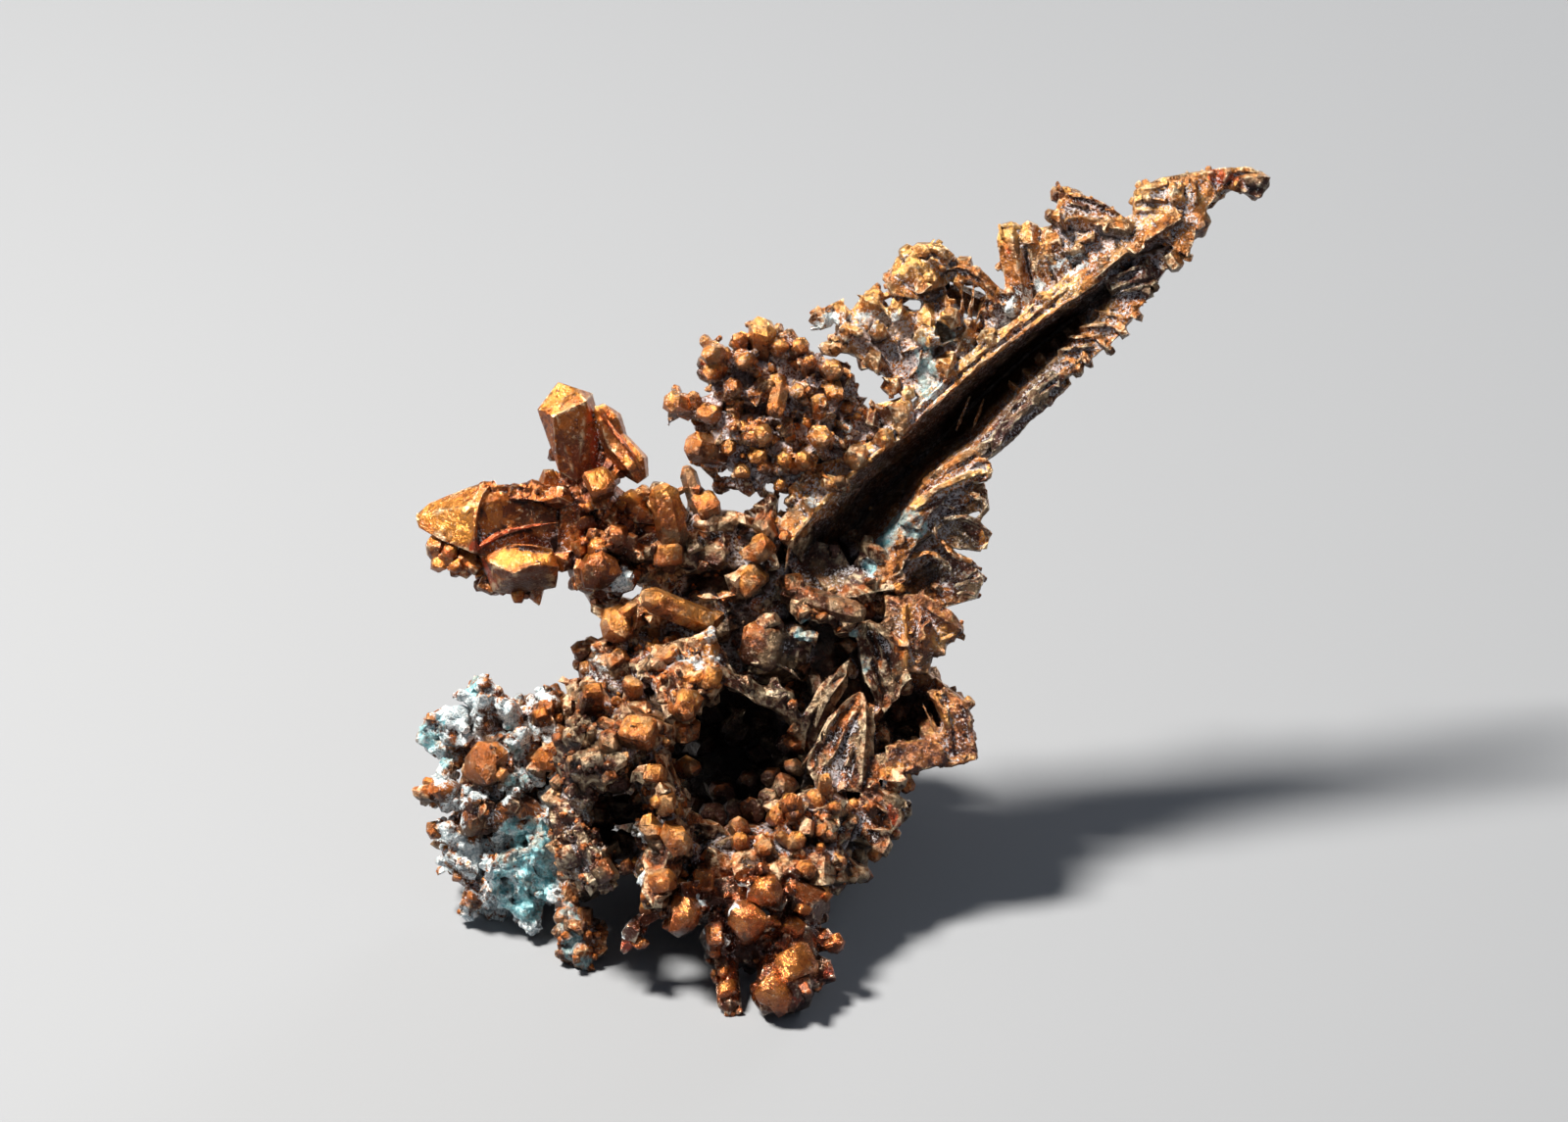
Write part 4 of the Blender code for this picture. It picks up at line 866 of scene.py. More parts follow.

# %% [markdown]
# ## The finish: tarnished copper
#
# Native copper that has lain in rock is a metal under a thin glaze of cuprite, the red oxide, and
# tenorite, the black one. It is a metal shader of middling roughness whose colour wanders between
# ochre, orange and brown over a few millimetres, is painted lighter on faces that look up, brightens
# to pale gold where it is raised, partly wear and partly a painted highlight, and goes a dark umber
# where it is sunk, partly oxide and partly painted shade. Over it lie matt things: lilac-white dust
# in the crevices, a chalky blue-white crust and specks of chrysocolla, the blue-green copper silicate.
# One function makes that stack, and each branch gets its own mix.

# %% The settings that its nodes share
TIMES = {"operation": "MULTIPLY"}
TIMES_PLUS = {"operation": "MULTIPLY_ADD"}
PLUS = {"operation": "ADD"}
MINUS = {"operation": "SUBTRACT"}
LARGER = {"operation": "MAXIMUM"}
SMOOTH = {"interpolation_type": "SMOOTHSTEP"}  # 0 at the first limit, 1 at the second
PAINT = {"data_type": "RGBA"}
METAL = 0.8
COAT = 0.45
COAT_ROUGHNESS = 0.10
BUMP_DEPTH = 0.0002  # m

# %% The finish as a function


def copper_finish(name, tones, dusty, crusty, gloss, drab, ripple=0.44):
    """Tarnished copper. tones are dark, brown, mid, bright and glint; dusty to ripple are amounts."""
    material = bpy.data.materials.new(name)
    material.use_nodes = True
    tree = material.node_tree
    shader = tree.nodes["Principled BSDF"]
    add = partial(add_node, tree)
    dark, brown, mid, bright, glint = (colour(tone) for tone in tones)

    # What the skin says of itself, and patterns of several sizes. A noise's scale is 1 / its blotches' mm.
    place = add("Mapping", add("TexCoord").node.outputs["Object"], Scale=(1 / MM,) * 3)
    shape = add("Attribute", attribute_name="shape")
    marks = add("Attribute", attribute_name="marks")
    tone_and_painted_light = shape.node.outputs["Alpha"]
    edge, broad, crust = add("SeparateColor", shape).node.outputs
    green, red, oxide_and_shade = add("SeparateColor", marks).node.outputs
    patch = add("TexNoise", place, 1 / 2.6, 3.0, 0.6)
    grain = add("TexNoise", place, 1 / 0.55, 4.0, 0.7)
    grit = add("TexNoise", place, 1 / 0.16, 3.0, 0.7)
    streak = add("TexNoise", place, 1 / 1.7, 4.0, 0.65)
    lump = add("TexNoise", place, 1 / 1.8, 5.0, 0.68)
    blotch = add("TexNoise", place, 1 / 0.8, 3.0, 0.7)
    cell = add("SeparateColor", add("TexVoronoi", place, 0.9).node.outputs["Color"])
    spark = add("SeparateColor", add("TexVoronoi", place, 6.5).node.outputs["Color"])

    # Metal: a tone that wanders and is painted lighter on faces that look up, then drab and red oxide,
    # a painted highlight on worn high places and random specks, and painted shade, partly oxide, where it
    # is sunk, in the cave and trough and on undersides.
    tone = add("Math", patch, 0.30, **TIMES)
    for pattern, share in ((grain, 0.75), (cell, 0.20), (tone_and_painted_light, 0.70)):
        tone = add("Math", pattern, share, tone, **TIMES_PLUS)
    drabness = add("Math", add("MapRange", streak, 0.49, 0.60, **SMOOTH), drab, **TIMES)
    redness = add("MapRange", add("Math", grain, 1.4, red, **TIMES_PLUS), 1.35, 1.85, **SMOOTH)
    redness = add("Math", redness, 0.8, **TIMES)
    # painted highlight, partly wear: raised edges and random specks are mixed towards the pale glint colour
    worn_and_highlit = add("MapRange", edge, 0.60, 0.90, **SMOOTH)
    worn_and_highlit = add("Math", worn_and_highlit, add("MapRange", grain, 0.40, 0.60, **SMOOTH), **TIMES)
    sparkle = add("MapRange", spark, 0.90, 0.94, **SMOOTH)
    sparkle = add("Math", sparkle, add("MapRange", grain, 0.44, 0.60, **SMOOTH), **TIMES)
    worn_and_highlit = add("Math", worn_and_highlit, 0.6, **TIMES)
    lit = add("Math", worn_and_highlit, add("Math", sparkle, 0.35, **TIMES), **LARGER)
    # painted shade, partly oxide: sunk corners and broad hollows are darkened towards the dark colour
    deep = add("MapRange", broad, 0.41, 0.16, **SMOOTH)
    sunk = add("Math", add("MapRange", edge, 0.44, 0.16, **SMOOTH), deep, **LARGER)
    surface = brown
    for share, paint in (
        (add("MapRange", tone, 0.82, 0.98, **SMOOTH), mid),
        (add("MapRange", tone, 1.02, 1.24, **SMOOTH), bright),
        # the lowest tone, from umber strokes and from the painted shade of faces that look down, goes
        # purple-brown
        (add("MapRange", tone_and_painted_light, 0.26, 0.0, **SMOOTH), colour("#4A2A24")),
        (drabness, colour("#A68E6C")),
        (redness, colour("#B8401C")),
        (lit, glint),
        (add("Math", sunk, 0.85, **TIMES), dark),
        (add("Math", oxide_and_shade, 0.84, **TIMES), dark),
    ):
        surface = add("Mix", share, surface, paint, **PAINT)

    # Dust that has settled in the shallow crevices, but not in the black ones.
    settled = add("Math", grain, 0.3, grit, **TIMES_PLUS)
    settled = add("Math", broad, -0.7, settled, **TIMES_PLUS)
    settled = add("MapRange", add("Math", settled, dusty, **PLUS), 0.50, 0.58, **SMOOTH)
    specks = add("MapRange", grit, 0.64, 0.70, **SMOOTH)
    specks = add("Math", specks, add("MapRange", patch, 0.36, 0.56, **SMOOTH), **TIMES)
    specks = add("Math", specks, 0.45, **TIMES)
    dust = add("Math", add("Math", settled, 0.75, **TIMES), specks, **LARGER)
    clear = add("Math", 1.0, add("Math", oxide_and_shade, deep, **LARGER), **MINUS)
    dust = add("Math", dust, clear, **TIMES)
    pale = add("MapRange", grit, 0.4, 0.6, **SMOOTH)
    dust_colour = add("Mix", pale, colour("#958C98"), colour("#E6E4EA"), **PAINT)
    surface = add("Mix", dust, surface, dust_colour, **PAINT)

    # Chalky crust, and the blue-green copper mineral in it.
    thick = add("Math", lump, 1.6, add("Math", grit, 0.4, **TIMES), **TIMES_PLUS)
    thick = add("Math", crust, crusty, thick, **TIMES_PLUS)
    chalky = add("MapRange", thick, 1.74, 1.90, **SMOOTH)
    pale = add("MapRange", grit, 0.35, 0.65, **SMOOTH)
    chalk = add("Mix", pale, colour("#9DB4BE"), colour("#F6FBFC"), **PAINT)
    greenish = add("Math", blotch, 1.6, green, **TIMES_PLUS)
    greenish = add("MapRange", greenish, 1.50, 1.85, **SMOOTH)
    pale = add("MapRange", grain, 0.4, 0.62, **SMOOTH)
    teal = add("Mix", pale, colour("#43A4B2"), colour("#ACE6EA"), **PAINT)
    chalk = add("Mix", add("Math", greenish, 0.85, **TIMES), chalk, teal, **PAINT)
    crusted = add("Math", chalky, add("Math", greenish, 0.6, **TIMES), **LARGER)
    clear = add("Math", 1.0, add("Math", deep, 0.9, **TIMES), **MINUS)
    crusted = add("Math", crusted, clear, **TIMES)
    surface = add("Mix", crusted, surface, chalk, **PAINT)

    # Dust and crust are matt; the metal's own gloss wanders, and its facets are tilted at random.
    matt = add("Math", dust, crusted, **LARGER)
    metallic = add("Math", matt, -METAL, METAL, **TIMES_PLUS)
    sheen = add("Math", grain, 0.36, gloss - 0.18, **TIMES_PLUS)
    rough = add("Math", sheen, add("Math", matt, 0.92, **TIMES), **LARGER)
    height = add("Math", grit, 0.8, grain, **TIMES_PLUS)
    bump = add("Bump", Strength=0.25 + 1.25 * ripple, Distance=BUMP_DEPTH, Height=height)
    facets = add("TexVoronoi", place, 2.4).node.outputs["Color"]
    tilt = add("VectorMath", facets, (ripple,) * 3, (-0.5 * ripple,) * 3, **TIMES_PLUS)
    tilted = add("VectorMath", add("VectorMath", bump, tilt, **PLUS), operation="NORMALIZE")
    wanted = {
        "Base Color": surface, "Metallic": metallic, "Roughness": rough,
        "Normal": tilted, "Coat Normal": tilted,
    }
    for socket, value in wanted.items():
        tree.links.new(value, shader.inputs[socket])
    shader.inputs["Coat Weight"].default_value = COAT
    shader.inputs["Coat Roughness"].default_value = COAT_ROUGHNESS
    return material


# %% Seven mixes of the finish, one for each branch's material slot
MIXES = {
    # name: (dark, brown, mid, bright, glint), dusty, crusty, gloss, drab, ripple
    "brown_copper": (("#150A06", "#4E2816", "#A45A26", "#DA9042", "#FFEAC4"), 0.18, 1.0, 0.32, 0.5),
    "ridge_copper": (("#160B06", "#5E3016", "#B26E32", "#E4AA60", "#FFF2D2"), 0.18, 0.85, 0.34, 0.45),
    "fan_copper": (("#160C0A", "#6A3E24", "#BA6E30", "#E6A050", "#FFEEC8"), 0.26, 0.85, 0.30, 0.45),
    "bright_copper": (("#160A05", "#66321A", "#A4581E", "#CE8434", "#FFEAC0"), 0.07, 0.8, 0.32, 0.12, 0.24),
    "crusted_copper": (("#150E0C", "#5A3220", "#A65C24", "#D08034", "#F0D2AA"), 0.18, 0.86, 0.40, 0.3),
    "torn_copper": (("#140B0A", "#52302A", "#965C36", "#D0924C", "#FCE0AC"), 0.12, 0.7, 0.34, 0.3),
    "foot_copper": (("#140805", "#542612", "#A4521E", "#CC7A36", "#FFECD0"), 0.08, 1.0, 0.24, 0.15, 0.22),
}
FINISHES = {name: copper_finish(name, *mix) for name, mix in MIXES.items()}
print(len(FINISHES), "finishes")

# %% [markdown]
# ## Finishing a branch
#
# The last steps are the same for all: the attributes, the material, the way back to metres, and the
# frame's own calls, which hide the plain solid and let the new piece ride where it was.

# %% What a mesh keeps for its finish
FINE_RELIEF = (6, 0.07)  # times smoothed, reach in mm
BROAD_RELIEF = (110, 0.5)


def record_look(mesh, fine, wide, tones):
    """Keeps the relief, the tone with painted light that makes faces that look up lighter, and the regions
    of colour with the corners of a mesh.
    """
    places = on_face(points_of(mesh))
    upward = read(mesh.vertices, "normal", 3) @ np.array(UP)
    rubbed, gilt_and_lit, umber_and_shade, crust = (strength(places, r) for r in (RUBBED, GILT_AND_LIT_FACES, UMBER_AND_SHADED_FACES, PALE_CRUST))
    wide = np.maximum(wide, 0.55 * rubbed)  # a rubbed place holds no dust
    # painted light: faces that look up are made lighter, and the gilt and umber strokes add painted light
    # and shade on some faces
    tones = tones + 0.5 * (gilt_and_lit - umber_and_shade) + 0.26 * upward
    keep_layer(mesh, "shape", [fine, wide, crust * (1 - rubbed), np.clip(tones, 0, 1)])
    green, red, oxide_and_shade = (strength(places, r) for r in (BLUE_GREEN, RED_STREAK, DARK_OXIDE_AND_SHADE))
    # painted shade: faces that look down are darkened through the oxide channel
    oxide_and_shade = np.maximum(oxide_and_shade, np.clip(-1.2 * upward - 0.3, 0, 0.7))  # undersides are dark
    keep_layer(mesh, "marks", [green, red, oxide_and_shade, np.ones(len(places))])


def seat(crystals):
    """Small crystals stand up everywhere, and each has a tone of its own."""
    mesh = crystals.data
    tones = read(mesh.attributes["tone"].data, "value", 1)[:, 0]
    fine = np.full(len(tones), 0.62)
    broad = 0.66 + 0.2 * (tones * 7.3 % 1)  # varied by the tone's own digits, so some hold more dust
    record_look(mesh, fine, broad, 0.25 + 0.55 * tones)
    mesh.attributes.remove(mesh.attributes["tone"])


# %% Finish a branch
SMOOTH_BELOW = math.radians(38)  # sharper edges than this stay sharp


def finish_branch(skin, crystals, node, slot, triangles, tone=0.5):
    """Makes the piece that stands for its node from a skin and the crystals that stay sharp."""
    before = triangle_count(skin.data)
    to_budget(skin, triangles // (1))
    mesh = skin.data
    if "tone" in mesh.attributes:
        mesh.attributes.remove(mesh.attributes["tone"])
    fine, broad = relief(mesh, *FINE_RELIEF), relief(mesh, *BROAD_RELIEF)
    record_look(mesh, fine, broad, np.full(len(mesh.vertices), tone))
    for part in crystals:
        seat(part)
    skin.vertex_groups.clear()
    join_to(skin, crystals)
    points = points_of(mesh)
    points[:, 2] = np.maximum(points[:, 2], 0.0)  # nothing goes below the table
    move_points(mesh, points)
    mesh.materials.clear()
    mesh.materials.append(FINISHES[slot])
    mesh.transform(Matrix.Scale(MM, 4))
    skin.name = node + "_grown"
    only(skin)
    bpy.ops.object.shade_smooth_by_angle(angle=SMOOTH_BELOW)
    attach(skin, "root")
    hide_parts(node)
    print(f"{node}: {before} triangles brought to {triangle_count(mesh)}")


# %% [markdown]
# ## The crystal arm
#
# The arm carries the three largest crystals of the nugget, blunt prisms with clean slanting faces,
# on a stalk of small ones. A clean face is a crystal face that stopped growing undisturbed, so it
# has no crumbs: the sowing avoids those faces, and thin seams are laid along the edges where two
# faces meet. They could be bevels, but the faces here are not regular enough for that to hold. The
# stalk gets its larger crystals planted one by one and the crumbs sown in its hollows, which is how
# a late, hurried growth looks. This is the brightest and least rippled mix of the finish.

# %% The crystal arm
# The large crystal faces stay clear of crumbs.
BARE_FACES = table("""
2.7 1, -22.4 31.2 0.8, -15 31 0.8
1.9 1, -17.6 28.4 2, -15.4 28 2
2.2 1, -14.4 38.6 0.8, -13.4 35.2 0.8
1.5 0.9, -11.4 37.6 0.8, -9.6 35 1
""")
STALK = table("""
3.2 1, -12.4 33.4 0.4, -10.6 30 0.6, -11.6 27.6 0.6
1.6 1, -22 29 0.2, -19 26.8 0.4
1 1, -17 26.4 0.8, -14.8 26.4 0.8
""")
LEDGE = table("1.1 1, -18.8 33.4 0.6, -14.2 33 0.8")
# kind, place, direction, radius length tone
STALK_CRYSTALS = table("""
cube, -11.7 33.5, -0.3 0.4 1, 1 2 0.45
pebble, -11.8 28, -0.4 -0.1 1, 1.4 2.6 0.4
pebble, -12.6 31, -0.3 0.2 1, 0.7 1.6 0.5
pebble, -10.6 30.2, 0 0.2 1, 0.8 1.6 0.45
pebble, -13 29.4, -0.5 0 1, 0.6 1.2 0.35
cube, -10.4 32.2, 0.2 0.5 1, 0.5 1.2 0.8
""")
# thickness, then each place it runs through
SEAMS = table("""
0.4, -18.6 33.7 1, -19.6 32.2 2.4, -19.7 30.4 2.5, -19.6 29.2 2.4
0.35, -19.2 33.4 1.1, -17.2 33.3 1.1, -15.4 33.1 1.2, -14.2 32.6 1.4
0.35, -19.6 29.3 2.4, -18.4 30.2 2, -16.4 30.8 1.5, -14.4 31 1
0.3, -17.6 29.6 2.3, -16.2 29.7 2.4, -14.7 29.3 2.1
0.3, -17.2 27.8 3, -16 28.4 3.1, -15 28.3 3, -14.4 28.2 2.3
0.3, -15.6 38.3 0.9, -14.7 37.8 1.9, -13.3 39.4 0.9
0.3, -14.7 37.8 1.9, -14.5 36 1.6, -14.3 34.2 1.2
0.3, -11.8 38.4 1.2, -11.2 37.4 1.6, -9.8 35.6 1.8, -9 34.4 1.6
""")
arm = bare_branch("crystal_arm")
arm_buds = sow(arm, ["cube", "pebble"], 0.4, (0.3, 0.7), 11, STALK, BARE_FACES, lean=0.6)
melt(arm, [arm_buds, strands(SEAMS)], 0.1)
ledge_group = weigh(arm, "ledge", strength(on_face(points_of(arm.data)), LEDGE))
roughen(arm, "VORONOI_F1", 0.5, 0.5, ledge_group, middle=0.5, depth=1)
facet(arm, 5200)
roughen(arm, "IMPROVED_PERLIN", 0.35, 0.08)
arm_hollow = hollow(arm.data)
arm_crystals = [
    plant(arm, STALK_CRYSTALS, 13),
    sow(arm, ["pebble", "cube"], 0.8, (0.25, 0.6), 14, STALK, BARE_FACES, clump=1.6),
    sow(arm, ["crumb", "blade"], 3.5, (0.07, 0.18), 12, None, BARE_FACES, clump=1.5, liking=arm_hollow),
]
finish_branch(arm, arm_crystals, "crystal_arm", "bright_copper", 80000)

# %% [markdown]
# ## The knob fan
#
# The fan is a spray of blunt columns that grew side by side out of the ridge, with dark pits between
# them. Sculpting each would be slow, so a cell pattern first breaks the skin into lumps with creases
# between, and then columns are planted on it, each with its own lean. The skin is given a darker
# tone than the columns, since the pits hold oxide and dust while the ends of the columns are worn.

# %% The knob fan
# kind, place, direction, radius length tone
FAN_COLUMNS = table("""
pebble, -0.5 40, 0 -0.3 1, 0.72 2 0.72
prism, -0.4 38.9, 0.1 -0.6 1, 0.65 1.88 0.4
prism, 3 40.6, 0 0.1 1, 0.78 1.75 0.6
prism, 3.1 39.6, 0.1 -0.5 1, 0.65 1.62 0.72
pebble, -1.3 36.6, -0.1 0.2 1, 0.72 1.88 0.75
prism, -1.6 35.6, -0.1 -0.4 1, 0.65 1.62 0.6
prism, 2.4 36.4, -0.1 0.1 1, 0.85 1.88 0.72
prism, -4.2 41.5, -0.4 0.4 1, 0.85 2 0.6
pebble, -4.4 40.7, -0.6 0 1, 0.78 1.88 0.6
prism, -6.6 38.5, -0.8 0.1 0.8, 0.78 1.5 0.72
prism, -5.5 38.5, -0.2 0.9 0.4, 0.45 1.25 0.6
prism, -3.5 35.8, -0.2 0 1, 0.59 1.5 0.75
pebble, -2.7 34.3, 0 -0.3 1, 0.55 1.5 0.8
prism, 1.3 34.9, 0.1 0.2 1, 0.59 1.62 0.75
prism, 0 35.1, 0 -0.2 1, 0.52 1.38 0.8
prism, -1.4 42.7, -0.1 1 0.8, 0.98 1.88 0.9
pebble, -0.4 42.2, 0.2 0.5 1, 0.65 1.5 0.6
prism, -2.8 42.3, 0 1 0.6, 0.52 1.25 0.6
prism, -4.7 42.2, -0.5 0.9 0.4, 0.42 1.12 0.72
prism, -3.2 39.5, -0.2 0.1 1, 0.65 1.62 0.3
pebble, -4.7 38, -0.3 0 1, 0.78 1.62 0.6
prism, 1.6 40.9, 0.1 0.3 1, 0.55 1.5 0.72
prism, 0.8 42, 0.3 0.6 0.9, 0.59 1.38 0.6
prism, -2.4 41.3, -0.1 0.4 1, 0.65 1.62 0.6
pebble, 0.9 39.4, 0.1 0 1, 0.52 1.5 0.72
prism, -2.6 37.2, -0.1 -0.1 1, 0.52 1.38 0.6
prism, 3.9 38.3, 0.3 0 1, 0.45 1.25 0.6
prism, -0.2 33.6, 0 -0.3 1, 0.45 1.25 0.72
pebble, 0.3 36.4, 0.1 0.1 1, 0.45 1.38 0.6
prism, -4.9 35.7, -1 0.2 0.9, 0.98 1.88 0.35
""")
fan = bare_branch("knob_fan")
melt(fan, [sow(fan, ["pebble", "prism"], 1.0, (0.25, 0.5), 21, lean=0.5, long=1.2)], 0.12)
roughen(fan, "VORONOI_F2_F1", 1.4, 0.5, middle=0.4, depth=0)
facet(fan, 7500)
roughen(fan, "IMPROVED_PERLIN", 0.28, 0.14)
fan_hollow = hollow(fan.data)
fan_crystals = [
    plant(fan, FAN_COLUMNS, 23),
    sow(fan, ["pebble", "cube", "prism"], 0.7, (0.2, 0.5), 24, lean=0.5, long=1.2, clump=1.2),
    sow(fan, ["nub", "crumb", "blade"], 9.0, (0.07, 0.16), 22, clump=1.2, lean=0.8, liking=fan_hollow),
]
finish_branch(fan, fan_crystals, "knob_fan", "fan_copper", 110000, 0.34)

# %% [markdown]
# ## The spire
#
# The spire is a long dark trough between a lit ridge and a ribbed rim, where metal grew as a thin
# sheet and curled. Its forms are drawn out lengthwise, so most of its detail is strands: ribs along
# the rim, wires and an arch on the upper lobes, the comb of the tip, the edges of prisms. They are
# melted into the skin instead of lying on it, because on the real metal they are one growth. The
# grain of the ridge and of the fins is a noise stretched along the way they grew. Crystals are kept
# off the trough, the ridge, the rim and the fins, which are bare.
# The dark of the trough is partly painted shade, and the ridge's band and the fins' rims are painted paler,
# as painted light.

# %% The spire
CHANNEL = table("3.6 1, 3.6 30.8 -1.6, 9.6 36.2 -2, 15.8 41.6 -1.2, 18.6 44.2 -0.8")
BAND = table("1.5 1, 7.6 37.4 1, 14 42.8 1, 20 47.2 0.6")
RIM = table("1.6 1, 9.6 33.4 0, 13.6 36 0.2, 18.4 41 0.2, 21.6 43.6 0")
FINS = table("""
2 1, 8.4 31.6 0, 12.6 33.4 0
2.4 1, 8.6 29 -0.8, 12.6 28.6 -0.8
""")
LOBES = table("""
2.6 1, 3.4 43.4 0.4, 9 43.4 0.6, 9 47.2 0.4
1.6 1, 11 46.4 0.2, 14 44.6 0.4
""")
